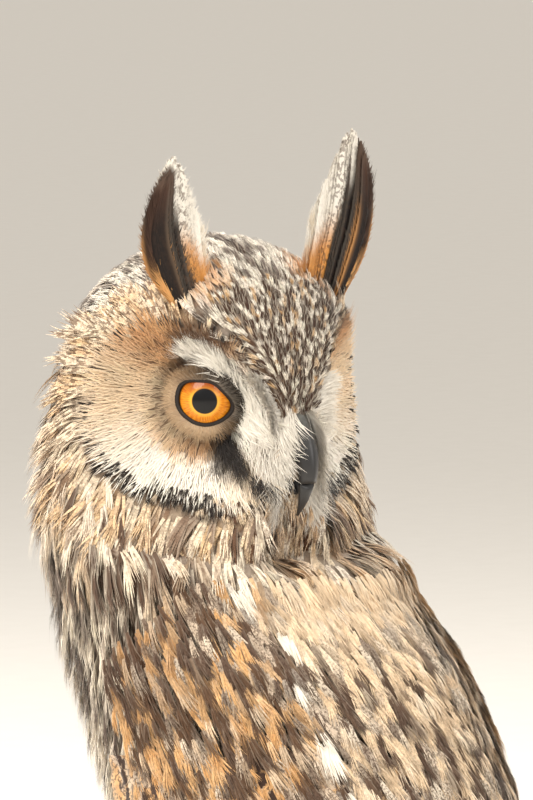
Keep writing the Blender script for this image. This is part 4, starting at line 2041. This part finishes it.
@dataclass
class Shoulder:
    """The soft feathers over one folded wing's upper part and the back beside it.

    Small tufts lie in the rows and columns of the feathers that they draw together: each feather's
    tufts rise towards its tip, fan out from its shaft and take its ground, wedge and pale edge.
    """

    side: int
    word: str
    low: float = 0.142
    high: float = 0.243
    spacing: float = 0.0025
    radius: float = 0.058
    feather_width: float = 0.0090
    feather_length: float = 0.0190
    length: float = 0.0120
    width: float = 0.0070
    depth: float = 0.0020
    step: float = 0.0015
    cover: float = 0.0052
    sunken: float = 0.0064
    lift: float = 0.0014
    rear: float = 182.0
    white_spots: tuple = ((0.2415, 122.5, 0.0034, 0.0062), (0.2255, 130.5, 0.0022, 0.0030),
                          (0.2135, 127.5, 0.0020, 0.0034), (0.194, 129.0, 0.0028, 0.0056),
                          (0.178, 131.5, 0.0040, 0.0050))

    def build(self, finish: bpy.types.Material) -> None:
        """Strew the tufts.

        Args:
            finish: The tufts' material.
        """
        draw = np.random.default_rng(61)
        height, angle = self.roots(draw)
        design = point_on(WING_SECTIONS, height, angle, 0.0, 1)
        x, y, chance = self.cells(design, height, angle, draw)
        spot, lift = self.spots(height, angle)
        offset = self.cover - self.sunken * rise(height, 0.212, 0.242)
        offset = offset + self.step * y * (1.0 - 0.7 * rise(height, 0.215, 0.240)) + lift
        points = point_on(WING_SECTIONS, height, angle, offset, self.side)
        turn = angle + np.radians(2.0) + 0.05 * x
        ahead = point_on(WING_SECTIONS, height - 0.012, turn, offset, self.side)
        wide, deep = section_at(WING_SECTIONS, height)[1:]
        outwards = unit(as_rows(self.side * np.sin(angle) / wide, -np.cos(angle) / deep, 0.0))
        lie = unit(ahead - points)
        patterns = [LockPattern("", strands=14, fan=0.20, width=0.034, steps=3, curl=0.06,
                                droop=0.20, seed=110 + k) for k in range(5)]
        coat = Coat(f"shoulder_{self.word}", "body_feathers", patterns, self.length, self.width,
                    self.depth, 0.02, 0.09, 0.20, seed=63)
        marks = self.marks(design, height, np.degrees(angle), x, y, chance, spot, draw)
        coat.build(finish, points + HEAD.shift, across_to(outwards, lie), lie, marks)

    def roots(self, draw: np.random.Generator) -> tuple[Array, Array]:
        """Throw the roots over the covered part of the wing's form.

        Args:
            draw: Source of the throw.

        Returns:
            Heights, and angles from the breast.
        """
        level = self.spacing * 0.87
        heights, angles = [], []
        for number, height in enumerate(np.arange(self.low, self.high, level)):
            front = 73.0 + 29.0 * float(rise(height, 0.212, 0.243))
            front += 66.0 * float(rise(height, 0.160, 0.152))
            step = math.degrees(self.spacing / self.radius)
            row = np.arange(front + (0.5 * step if number % 2 else 0.0), self.rear, step)
            heights.append(np.full(len(row), height))
            angles.append(row)
        height, angle = np.concatenate(heights), np.concatenate(angles)
        height = height + 0.9 * level * (draw.random(len(height)) - 0.5)
        angle = angle + 0.9 * step * (draw.random(len(height)) - 0.5)
        return height, np.radians(angle)

    def cells(self, design: Array, height: Array, angle: Array,
              draw: np.random.Generator) -> tuple[Array, Array, Array]:
        """Tell where each tuft lies on the feather that it belongs to.

        Args:
            design: The tufts' places on the wing's form.
            height: Their heights.
            angle: Their angles.
            draw: Source of the feathers' differences.

        Returns:
            Place across from -1 to 1, place along from 0 to 1, and three chances of the
            feather's own.
        """
        u = self.radius * angle + 0.0026 * mottle(design, 0.015, 11)
        v = 0.30 - height + 0.0030 * mottle(design, 0.015, 12)
        column = np.floor(u / self.feather_width).astype(int)
        own = draw.random((64, 64, 3))
        v = v / self.feather_length + 0.5 * (column % 2) + 0.35 * own[column % 64, 0, 0]
        row = np.floor(v).astype(int)
        x = 2.0 * (u / self.feather_width - column) - 1.0
        return x, v - row, own[column % 64, row % 64]

    def spots(self, height: Array, angle: Array) -> tuple[Array, Array]:
        """Give how white each tuft is as part of a shoulder feather's white half, and its lift."""
        white, lift = np.zeros(len(height)), np.zeros(len(height))
        for high, degrees, half_width, half_length in self.white_spots:
            u = self.radius * (angle - math.radians(degrees)) / half_width
            v = (height - high) / half_length
            near = rise(np.hypot(u, v), 1.20, 0.75)
            white = np.maximum(white, near)
            lift = np.maximum(lift, self.lift * near * rise(v, 0.5, -0.8))
        return white, lift

    @staticmethod
    def marks(design: Array, height: Array, degrees: Array, x: Array, y: Array, chance: Array,
              spot: Array, draw: np.random.Generator) -> tuple[Array, Array, Array]:
        """Colour the tufts.

        Args:
            design: The tufts' places on the wing's form.
            height: Their heights.
            degrees: Their angles.
            x: Places across their feather.
            y: Places along it.
            chance: The feather's own chances.
            spot: How white they are.
            draw: Source of the small differences.

        Returns:
            Ground colours, mark colours and marks, as the plumage gives them.
        """
        kinds = PLUMAGE
        count = len(height)
        back = rise(degrees + 2.0 * mottle(design, 0.010, 16), 122.0, 134.0)
        plain = rise(height, 0.216, 0.236) * rise(degrees, 120.0, 136.0)
        bend = rise(height, 0.196, 0.215) * rise(degrees, 106.0, 86.0)
        fleck = mottle(design * np.array([1.0, 1.0, 0.6]), 0.0024, 13)
        area = mottle(design, 0.0050, 14)
        warm = 0.62 * kinds.buff + 0.38 * kinds.tawny
        pale = 0.50 * kinds.cream + 0.50 * kinds.buff
        tone = blend(np.tile(warm, (count, 1)), pale, 0.85 * back)
        ashen = rise(area + 0.9 * (chance[:, 1] - 0.5), 0.10, 0.35)
        tone = blend(tone, 0.75 * kinds.ash + 0.25 * kinds.grey, 0.85 * ashen)
        tone = blend(tone, kinds.gold, 0.30 * rise(-area, 0.15, 0.45) * (1.0 - back))
        tone = blend(tone, kinds.cream, 0.55 * rise(y, 0.72, 0.95) * rise(np.abs(x), 1.3, 0.4))
        width = (0.20 + 0.50 * y) * (0.50 + 0.85 * chance[:, 0])
        width = width + 0.38 * fleck + 0.25 * bend
        wedge = rise(width - np.abs(x + 0.25 * (chance[:, 2] - 0.5)), -0.10, 0.12)
        wedge = wedge * rise(y, 1.0, 0.90)
        vermicular = rise(fleck, 0.22, 0.42) * (0.35 + 0.55 * ashen)
        ink = 0.80 * kinds.dark + 0.20 * kinds.brown
        tone = blend(tone, 0.60 * kinds.brown + 0.40 * kinds.dark, 0.45 * bend)
        tone = blend(tone, ink, np.maximum(0.94 * wedge, 0.75 * vermicular) * (1.0 - 0.85 * plain))
        tone = blend(tone, pale, 0.75 * plain * (1.0 - wedge))
        tone = blend(tone, 0.6 * kinds.white + 0.4 * kinds.cream, 0.97 * spot)
        tone = tone * (0.90 + 0.20 * draw.random((count, 1)))
        speck = (0.25 + 0.45 * ashen) * (1.0 - spot) * (1.0 - 0.7 * plain)
        zero = np.zeros(count)
        return (np.column_stack((np.clip(tone, 0.0, 1.0), 0.10 + zero)),
                np.column_stack((np.tile(ink, (count, 1)), zero)),
                as_rows(0.0, 0.0, speck))


def free_blade(pile: MeshPile, middles: Array, across: Array, out: Array, full: Array,
               values: tuple, shape: Blades, draw: np.random.Generator, thick: float = 0.0003,
               fringe: int = 30, loose: float = 0.2) -> None:
    """Add a long feather with two faces along a free line, with loose barb ends on both edges.

    Args:
        pile: Where it goes.
        middles: Points along its shaft.
        across: Ways across it, one for each point.
        out: Ways out of its upper face.
        full: Half widths.
        values: Its colours.
        shape: How its blade is shaped.
        draw: Source of the small differences.
        thick: Distance between its faces.
        fringe: Barb ends on each edge.
        loose: Their length as a share of the half width.
    """
    stations = len(middles)
    lanes = np.array(shape.lanes)
    t = np.linspace(0.0, 1.0, stations)
    bow = shape.camber * full[:, None] * (1.0 - lanes ** 2) + 0.0003 * (np.abs(lanes) < 0.05)
    grid = (middles[:, None] + across[:, None] * (full[:, None] * lanes)[..., None]
            + out[:, None] * bow[..., None])
    vane = as_rows(np.tile(lanes, stations), np.repeat(t, len(lanes)), 0.0)
    faces = grid_faces(stations, len(lanes))
    a, b, c = (grid.reshape(-1, 3)[faces[0, k]] for k in range(3))
    if np.dot(np.cross(b - a, c - a), out[0]) < 0.0:
        faces = faces[:, ::-1]
    pile.lay(grid.reshape(-1, 3), faces, vane, values)
    under = grid - out[:, None] * thick
    pile.lay(under.reshape(-1, 3), faces[:, ::-1], vane, values)
    for sign in (-1.0, 1.0):
        at = 0.10 + 0.88 * (np.arange(fringe) + draw.random(fringe)) / fringe
        root = rows_at(at, t, middles)
        side = rows_at(at, t, across) * sign
        ahead = unit(rows_at(np.minimum(at + 0.03, 1.0), t, middles) - rows_at(at - 0.03, t, middles))
        wide = np.interp(at, t, full)
        start = root + side * (wide * 0.86)[:, None]
        reach = (wide * loose + 0.0008) * (0.4 + 1.2 * draw.random(fringe))
        way = unit(side + ahead * (1.2 + 0.8 * draw.random((fringe, 1))))
        half = ahead * 0.00042
        points = np.stack((start - half, start + half, start + way * reach[:, None]), axis=1)
        x = np.tile(sign * np.array([0.86, 0.86, 1.05]), fringe)
        faces = np.arange(3 * fringe).reshape(-1, 3)
        pile.lay(points.reshape(-1, 3), faces, as_rows(x, np.repeat(at, 3), 0.0), values)


@dataclass
class Tail:
    """Twelve long feathers, the middle pair on top and the outer ones in turn beneath."""

    root: tuple = (0.0, 0.064, 0.117)
    slope: float = math.radians(38.0)
    length: float = 0.138
    pairs: int = 6
    spread: float = 0.0190
    root_spread: float = 0.0075
    half_width: float = 0.0118
    layer: float = 0.00095
    droop: float = 0.10
    outer_shorter: float = 0.012
    stations: int = 26

    def build(self, finish: bpy.types.Material, shape: Blades) -> None:
        """Make the tail as one piece.

        Args:
            finish: Its material.
            shape: How its blades are shaped.
        """
        draw = np.random.default_rng(17)
        along = np.array([0.0, math.sin(self.slope), -math.cos(self.slope)])
        upper = np.array([0.0, math.cos(self.slope), math.sin(self.slope)])
        t = np.linspace(0.0, 1.0, self.stations)
        pile = MeshPile()
        for pair in range(self.pairs):
            for side in (1, -1):
                share = (pair + 0.5) / self.pairs
                layer = pair + 1 if pair > 0 or side < 0 else 0
                length = self.length - self.outer_shorter * share ** 2
                centre = share * (self.root_spread + (self.spread - self.root_spread) * t)
                drop = self.droop * centre
                middles = (np.array(self.root) + along * (length * t)[:, None]
                           + np.array([side, 0.0, 0.0]) * centre[:, None]
                           - upper * (self.layer * layer + drop)[:, None]) + HEAD.shift
                full = self.half_width * shape.outline(t, 0.88)
                tone = np.concatenate((0.6 * PLUMAGE.buff + 0.4 * PLUMAGE.grey, [0.35]))
                ink = np.concatenate((PLUMAGE.dark, [0.0]))
                root = Unwrap.lay(middles[:1])[0] + np.array([0.0, 0.014 * pair * side])
                values = (tone, ink, np.array([0.08, 1.0, 0.5]), draw.random(), root)
                lean = unit(np.array([side, 0.0, 0.0]) - self.droop * upper)
                across = np.tile(lean, (self.stations, 1))
                out = np.tile(unit(upper + self.droop * np.array([side, 0.0, 0.0])),
                              (self.stations, 1))
                free_blade(pile, middles, across, out, full, values, shape, draw, 0.0004, 40, 0.08)
        mesh = pile.mesh("tail_feathers")
        show(mesh, "tail_feathers", finish, "tail_feathers", "tail")


@dataclass
class EarTuft:
    """One raised ear tuft: short pale inner feathers in front of long blackish outer ones."""

    side: int
    word: str
    tall: float
    lean: float
    base: tuple = (0.0235, 0.0195, 0.0300)
    length: float = 0.0545
    half_width: float = 0.0047
    yaw: float = math.radians(15.0)
    fan: float = math.radians(7.0)
    layers: float = 0.0067
    root_width: float = 0.0100
    tallest_at: float = 0.60
    inner_shorter: float = 0.50
    outer_shorter: float = 0.14
    shortening_bend: float = 1.2
    bow: float = 0.0035
    tips_in: float = 0.004
    feathers: int = 25
    stations: int = 16
    dark_from: float = 0.60
    hair_rows: tuple = ((0.03, -0.20, 46), (0.97, 0.14, 64))
    hair_reach: float = 0.82

    def middles(self, place: float, t: Array) -> tuple[Array, Array, Array]:
        """Lay out one feather in the head's own directions.

        Args:
            place: Its place in the tuft, 0 at the crown's side and 1 at the outer side.
            t: Shares of its length.

        Returns:
            Points along its shaft, the way across it and the way out of its face.
        """
        level = np.array([self.side * math.cos(self.yaw), math.sin(self.yaw), 0.0])
        ahead = np.array([self.side * math.sin(self.yaw), -math.cos(self.yaw), 0.0])
        upward = np.array([0.0, 0.0, 1.0])
        aside = place - 0.5
        base = np.array([self.side * self.base[0], -self.base[1], self.base[2]])
        base = base + level * aside * self.root_width + ahead * aside * self.layers
        lean = self.lean + self.fan * aside
        inside = place < self.tallest_at
        beyond = (1.0 - place / self.tallest_at if inside
                  else (place - self.tallest_at) / (1.0 - self.tallest_at))
        shorter = (self.inner_shorter if inside else self.outer_shorter)
        reach = self.length * self.tall * (1.0 - shorter * beyond ** self.shortening_bend)
        across = level * math.cos(lean) - upward * math.sin(lean)
        along = level * math.sin(lean) + upward * math.cos(lean)
        bow = self.bow * (0.4 + place) * np.sin(math.pi * t) - self.tips_in * place * t ** 3
        return base + along * (reach * t)[:, None] + across * bow[:, None], across, ahead

    def tone(self, place: float, vane: Array, draw: np.random.Generator) -> Array:
        """Colour one feather from its root to its tip.

        Args:
            place: Its place in the tuft.
            vane: Its points' places across and along.
            draw: Source of the small differences.

        Returns:
            Ground colours with the strength of the pale edge, one for each point.
        """
        y = vane[:, 1]
        edge = self.dark_from + 0.34 * (y - 0.5) + 0.06 * (draw.random() - 0.5)
        dark = rise(place - edge, -0.035, 0.035)
        gold = 0.75 * PLUMAGE.gold + 0.25 * PLUMAGE.tawny
        pale = blend(np.tile(gold, (len(y), 1)), PLUMAGE.white, rise(y, 0.30, 0.62))
        pale = blend(pale, 0.9 * PLUMAGE.black, rise(y, 0.18, 0.02) * rise(place, 0.15, 0.35))
        outer = blend(np.tile(1.1 * PLUMAGE.black, (len(y), 1)), 1.4 * PLUMAGE.dark, rise(y, 0.55, 1.0))
        rim = rise(place, 0.90, 0.98) * rise(np.abs(vane[:, 0]), 0.6, 1.0)
        outer = blend(outer, gold, 0.75 * rim * rise(y, 0.75, 0.45))
        colour = blend(pale, outer, dark)
        return np.column_stack((colour, np.full(len(y), 0.05)))

    def build(self, finish: bpy.types.Material, shape: Blades) -> None:
        """Make the tuft as one piece.

        Args:
            finish: Its material.
            shape: How its blades are shaped.
        """
        draw = np.random.default_rng(40 + self.side)
        pile = MeshPile()
        t = np.linspace(0.0, 1.0, self.stations)
        for number in range(self.feathers):
            place = number / (self.feathers - 1)
            line, across, ahead = self.middles(place, t)
            line = line + ahead * 0.0010 * (draw.random() - 0.5)
            line = line + across * (0.0012 * (draw.random() - 0.5) * t)[:, None]
            full = self.half_width * shape.outline(t, 0.35) * (0.70 + 0.25 * draw.random())
            near = math.exp(-(((place - self.dark_from + 0.08) / 0.16) ** 2))
            ink = np.concatenate((0.6 * PLUMAGE.dark + 0.4 * PLUMAGE.brown, [0.0]))
            marks = np.array([0.0, 0.0, 0.08 + 0.62 * near])
            placed = HEAD.place(line)
            colours = partial(self.tone, place, draw=draw)
            root = Unwrap.lay(placed[:1])[0] + np.array([0.0, 0.010 * (2.0 * place - 1.0)])
            values = (colours, ink, marks, draw.random(), root)
            rows = [np.tile(HEAD.direct(way[None]), (self.stations, 1)) for way in (across, ahead)]
            free_blade(pile, placed, *rows, full, values, shape, draw, 0.0003, 46, 0.40)
        mesh = pile.mesh(f"tuft_{self.word}")
        show(mesh, f"tuft_{self.word}", finish, "tuft_feathers", f"ear_tuft_{self.word}")
        self.hairs(shape, draw)

    def hairs(self, shape: Blades, draw: np.random.Generator) -> None:
        """Grow soft hairs from both edges of the tuft.

        Args:
            shape: How the tuft's blades are shaped.
            draw: Source of the small differences.
        """
        t = np.linspace(0.0, 1.0, self.stations)
        roots, lies, normals, tones = [], [], [], []
        for place, sideways, count in self.hair_rows:
            line, across, ahead = self.middles(place, t)
            share = self.hair_reach * draw.random(count)
            at = rows_at(share, t, line)
            way = rows_at(share, t, np.gradient(line, t, axis=0))
            half = 0.35 * self.half_width * np.interp(share, t, shape.outline(t, 0.35))
            at = at + across * (np.sign(sideways) * half)[:, None]
            at = at + ahead * (0.0012 * (draw.random(count) - 0.5))[:, None]
            lean = sideways * (0.6 + 0.8 * draw.random(count)) * (1.0 - 0.5 * share)
            lies.append(unit(unit(way) + across * lean[:, None]))
            roots.append(at)
            normals.append(np.tile(ahead, (count, 1)))
            gold = np.tile(0.60 * PLUMAGE.gold + 0.40 * PLUMAGE.buff, (count, 1))
            if sideways > 0.0:
                tones.append(blend(gold, 1.1 * PLUMAGE.dark, rise(share, 0.12, 0.34)))
            else:
                tones.append(blend(gold, PLUMAGE.cream, rise(share, 0.15, 0.50)))
        at, lie, out, tone = (np.concatenate(part) for part in (roots, lies, normals, tones))
        lie = HEAD.direct(lie)
        marks = (np.column_stack((tone, np.zeros(len(at)))),
                 np.tile(np.append(PLUMAGE.dark, 0.0), (len(at), 1)), np.zeros((len(at), 3)))
        patterns = [LockPattern("", strands=6, fan=0.22, width=0.016, curl=0.16, seed=130 + k)
                    for k in range(4)]
        finish = FeatherFinish(f"tuft_hair_{self.word}", bars=1.0, barbs=2.0, dusk=0.0,
                               sheen=0.10).material()
        coat = Coat(f"tuft_hair_{self.word}", "tuft_feathers", patterns, 0.0082, 0.0056, 0.0006,
                    0.0, 0.10, 0.25, seed=134)
        coat.build(finish, HEAD.place(at), across_to(HEAD.direct(out), lie), lie, marks)


@dataclass
class Claw:
    """One curved claw at the end of a toe."""

    foot: int
    word: str
    toe: int
    foot_side: float = FOOT_SIDE
    foot_y: float = FOOT_Y
    height: float = 0.0043
    overhang: float = 0.0053
    length: float = 0.0125
    radius: float = 0.0019
    sides: int = 14
    rings: int = 12
    toe_angles: tuple = (-14.0, 20.0, 98.0, 172.0)
    toe_lengths: tuple = (0.0215, 0.0235, 0.0200, 0.0165)

    def build(self, finish: bpy.types.Material) -> None:
        """Make the claw.

        Args:
            finish: Its material.
        """
        angle = math.radians(self.toe_angles[self.toe - 1])
        toe = self.toe_lengths[self.toe - 1]
        ahead = np.array([self.foot * math.sin(angle), -math.cos(angle), 0.0])
        start = np.array([self.foot * self.foot_side, self.foot_y, self.height])
        start = start + ahead * (toe + self.overhang) + HEAD.shift
        t = np.linspace(0.0, 1.0, self.rings)
        hump = 0.0016 * np.sin(math.pi * np.clip(1.3 * t, 0.0, 1.0)) - 0.0036 * t ** 2
        middles = start + ahead * (self.length * t)[:, None]
        middles[:, 2] += hump
        wide = self.radius * (1.0 - 0.93 * t ** 1.3)
        aside = np.cross(ahead, [0.0, 0.0, 1.0])
        way = unit(np.gradient(middles, axis=0))
        top = np.cross(aside, way)
        around = circle(self.sides)
        points = (middles[:, None] + aside * (wide[:, None] * np.cos(around))[..., None]
                  + top[:, None] * (wide[:, None] * np.sin(around))[..., None]).reshape(-1, 3)
        total = self.rings * self.sides
        vane = np.zeros((total + 2, 3))
        vane[:total, 1] = np.repeat(t, self.sides)
        vane[total + 1, 1] = 1.0
        pile = MeshPile()
        pile.add(np.concatenate((points, middles[:1], middles[-1:])),
                 tube_faces(self.rings, self.sides), **{VANE: vane})
        name = f"talon_{self.word}_{self.toe}"
        mesh = pile.mesh(name)
        face_outwards(mesh)
        show(mesh, name, finish, "bill_and_claws", f"claw_{self.word}_{self.toe}")


@dataclass(frozen=True)
class Filaments:
    """One kind of long free feather on the face: how many, where, which way and which colour."""

    name: str
    count: int
    length: float
    depth: float
    line: tuple
    spread: float
    colour: Array
    outward: float
    upward: float
    strands: int = 6
    width: float = 0.014
    is_free: bool = False
    back: float = -0.60

    def places(self, side: int, draw: np.random.Generator) -> Array:
        """Throw the roots along the line, in the head's own directions in front of the skin."""
        line = np.array(self.line)
        steps = np.concatenate(([0.0], np.cumsum(np.linalg.norm(np.diff(line, axis=0), axis=-1))))
        at = steps[-1] * draw.random(self.count)
        x, z = rows_at(at, steps, line).T
        x = x + self.spread * (2.0 * draw.random(self.count) - 1.0)
        z = z + 0.6 * self.spread * (2.0 * draw.random(self.count) - 1.0)
        return as_rows(side * x, -0.05, z)


class FaceFringe:
    """The long free feathers of the face: the white brows and the bristles beside the bill."""

    seed = 51
    kinds = (
        Filaments("brow", 400, 0.0100, 0.0028,
                  ((0.0078, -0.0110), (0.0105, 0.0005), (0.0160, 0.0106), (0.0220, 0.0155)),
                  0.0020, PLUMAGE.white, 0.80, 0.72, back=0.15),
        Filaments("lore", 170, 0.0074, 0.0016,
                  ((0.0058, -0.0060), (0.0066, 0.0010), (0.0088, 0.0070), (0.0110, 0.0110)),
                  0.0008, 0.80 * PLUMAGE.white + 0.20 * PLUMAGE.grey, 0.62, 0.20, 6, 0.018, True,
                  -0.62),
        Filaments("bristle", 170, 0.0115, 0.0038,
                  ((0.0070, -0.0040), (0.0066, -0.0150), (0.0050, -0.0290)),
                  0.0026, 0.78 * PLUMAGE.white + 0.22 * PLUMAGE.grey, 0.20, -0.85),
        Filaments("bill_bristle", 130, 0.0120, 0.0016,
                  ((0.0030, 0.0020), (0.0052, -0.0020), (0.0062, -0.0080), (0.0062, -0.0150)),
                  0.0012, 0.80 * PLUMAGE.white + 0.20 * PLUMAGE.grey, 0.06, -0.80, 6, 0.014, True),
        Filaments("dark_bristle", 70, 0.0105, 0.0044,
                  ((0.0150, -0.0060), (0.0130, -0.0150), (0.0105, -0.0210)),
                  0.0016, PLUMAGE.black, -0.35, -0.80, 5, 0.011),
    )

    def build(self, skin: bpy.types.Object) -> None:
        """Make brows and bristles.

        Args:
            skin: The skin's piece.
        """
        tree = BVHTree.FromObject(skin, bpy.context.evaluated_depsgraph_get())
        finish = FeatherFinish("filament", bars=1.0, barbs=2.0, dusk=0.0, sheen=0.3).material()
        draw = np.random.default_rng(self.seed)
        for side, word in ((1, "left"), (-1, "right")):
            for kind in self.kinds:
                points, normals = self.land(tree, kind.places(side, draw))
                count = kind.count
                way = as_rows(side * (kind.outward + 0.3 * (draw.random(count) - 0.5)), kind.back,
                              kind.upward)
                lie = HEAD.direct(unit(way))
                if kind.is_free:
                    sideways = HEAD.direct(np.tile([0.9 * side, -0.4, 0.2], (count, 1)))
                    normals = across_to(sideways, lie)
                else:
                    lie = across_to(lie, normals)
                tone = kind.colour * (0.88 + 0.12 * draw.random((count, 1)))
                ink = np.tile(PLUMAGE.brown, (count, 1))
                marks = (np.column_stack((tone, np.zeros(count))),
                         np.column_stack((ink, np.zeros(count))), np.zeros((count, 3)))
                patterns = [LockPattern("", strands=kind.strands, fan=0.30, width=kind.width,
                                        curl=0.18, seed=60 + k) for k in range(4)]
                coat = Coat(f"{kind.name}_{word}", "face_feathers", patterns, kind.length,
                            kind.length, kind.depth, 0.0, 0.12, seed=70 + side)
                coat.build(finish, points, normals, lie, marks)

    @staticmethod
    def land(tree: BVHTree, local: Array) -> tuple[Array, Array]:
        """Find where rays from the head's middle leave the skin.

        Args:
            tree: The skin.
            local: Places in the head's own directions, outside the skin.

        Returns:
            Points on the skin and its directions outwards there.
        """
        outside = HEAD.place(local)
        points, normals = [], []
        aim = HEAD.direct(np.array([[0.0, 1.0, 0.0]]))[0]
        for start in outside:
            hit, normal, _, _ = tree.ray_cast(Vector(start - aim * 0.05), Vector(aim))
            if hit is None:
                hit, normal, _, _ = tree.find_nearest(Vector(start))
            points.append(hit)
            normals.append(normal)
        return np.array(points), np.array(normals)


@dataclass
class Studio:
    """The pale floor, soft lights and the camera at the photograph's angle."""

    azimuth: float = math.radians(120.0)
    elevation: float = math.radians(5.0)
    distance: float = 2.5
    lens: float = 360.0
    aim: tuple = (-0.0049, 0.0085, 0.2931)
    floor_radius: float = 30.0

    def toward(self, azimuth: float, elevation: float) -> Vector:
        """Give the direction from the bird to a place round it."""
        level = math.cos(elevation)
        return Vector((math.sin(azimuth) * level, -math.cos(azimuth) * level, math.sin(elevation)))

    def build(self) -> None:
        """Set up floor, lights and camera."""
        self.floor()
        target = Vector(self.aim) + Vector(HEAD.shift)
        camera = bpy.data.objects.new("camera", bpy.data.cameras.new("camera"))
        camera.data.lens = self.lens
        camera.data.sensor_width = 36.0
        camera.data.clip_end = 100.0
        way = self.toward(self.azimuth, self.elevation)
        camera.location = target + way * self.distance
        camera.rotation_euler = (-way).to_track_quat("-Z", "Y").to_euler()
        bpy.context.scene.collection.objects.link(camera)
        bpy.context.scene.camera = camera
        lamps = (("key", 75.0, 48.0, 1.6, 1.1, 26.0, (1.0, 0.95, 0.86)),
                 ("fill", 165.0, 25.0, 1.9, 1.3, 11.0, (1.0, 0.97, 0.93)),
                 ("front", -10.0, 35.0, 1.8, 1.2, 17.0, (0.98, 0.98, 1.0)),
                 ("back", 270.0, 40.0, 1.8, 1.2, 12.0, (1.0, 0.98, 0.95)))
        for name, azimuth, elevation, distance, size, power, colour in lamps:
            lamp = bpy.data.lights.new(name, "AREA")
            lamp.shape = "DISK"
            lamp.size = size
            lamp.energy = power
            lamp.color = colour
            item = bpy.data.objects.new(name, lamp)
            way = self.toward(math.radians(azimuth), math.radians(elevation))
            item.location = Vector((0.0, 0.0, 0.25)) + way * distance
            item.rotation_euler = (-way).to_track_quat("-Z", "Y").to_euler()
            bpy.context.scene.collection.objects.link(item)
        world = bpy.data.worlds.new("studio")
        world.use_nodes = True
        world.node_tree.nodes["Background"].inputs[0].default_value = (1.0, 0.96, 0.90, 1.0)
        world.node_tree.nodes["Background"].inputs[1].default_value = 0.75
        bpy.context.scene.world = world
        bpy.context.scene.view_settings.view_transform = "Standard"

    def floor(self) -> None:
        """Lay the floor."""
        count = 96
        rim = [(self.floor_radius * math.cos(a), self.floor_radius * math.sin(a), 0.0)
               for a in circle(count)]
        mesh = bpy.data.meshes.new("floor")
        mesh.from_pydata(rim, [], [tuple(range(count))])
        item = bpy.data.objects.new("floor", mesh)
        bpy.context.scene.collection.objects.link(item)
        g = Graph("pale_floor")
        grain = g.noise(g.place(), 60.0, 3.0)
        g.finish(g.mix((0.80, 0.76, 0.70), (0.84, 0.80, 0.74), grain), grain, 0.05, 0.0005)
        g.constants(Roughness=0.8)
        item.data.materials.append(g.material)


def main() -> None:
    """Build the owl's looks and the studio, and report each piece."""
    logging.basicConfig(level=logging.INFO, format="%(message)s", stream=sys.stdout)
    skin = Skin().build()
    BodyCoat().build(skin)
    FaceFringe().build(skin)
    shape = Blades()
    quill = FeatherFinish("wing_feather", bars=4.0, patches=0.6, teeth=0.22, barbs=42.0,
                          dusk=0.25).material()
    shoulder = FeatherFinish("shoulder_feather", bars=1.0, grain=1300.0, barbs=3.0, dusk=0.22,
                             sheen=0.10).material()
    tail = FeatherFinish("tail_feather", bars=7.0, patches=0.3, barbs=60.0, dusk=0.1).material()
    tuft = FeatherFinish("tuft_feather", bars=6.0, grain=700.0, barbs=40.0, dusk=0.0,
                         roughness=0.80, sheen=0.08).material()
    for side, word in ((1, "left"), (-1, "right")):
        Wing(side, word).build(quill, shape)
        Shoulder(side, word).build(shoulder)
        tall, lean = (1.0, 10.0) if side > 0 else (0.88, 13.0)
        EarTuft(side, word, tall, math.radians(lean)).build(tuft, shape)
        Eye(side, word).build()
        for toe in (1, 2, 3, 4):
            Claw(side, word, toe).build(horn_finish(f"claw_horn_{word}_{toe}", (0.10, 0.095, 0.10),
                                                    (0.26, 0.25, 0.24)))
    Tail().build(tail, shape)
    Bill().build()
    Studio().build()


if __name__ == "__main__":
    main()
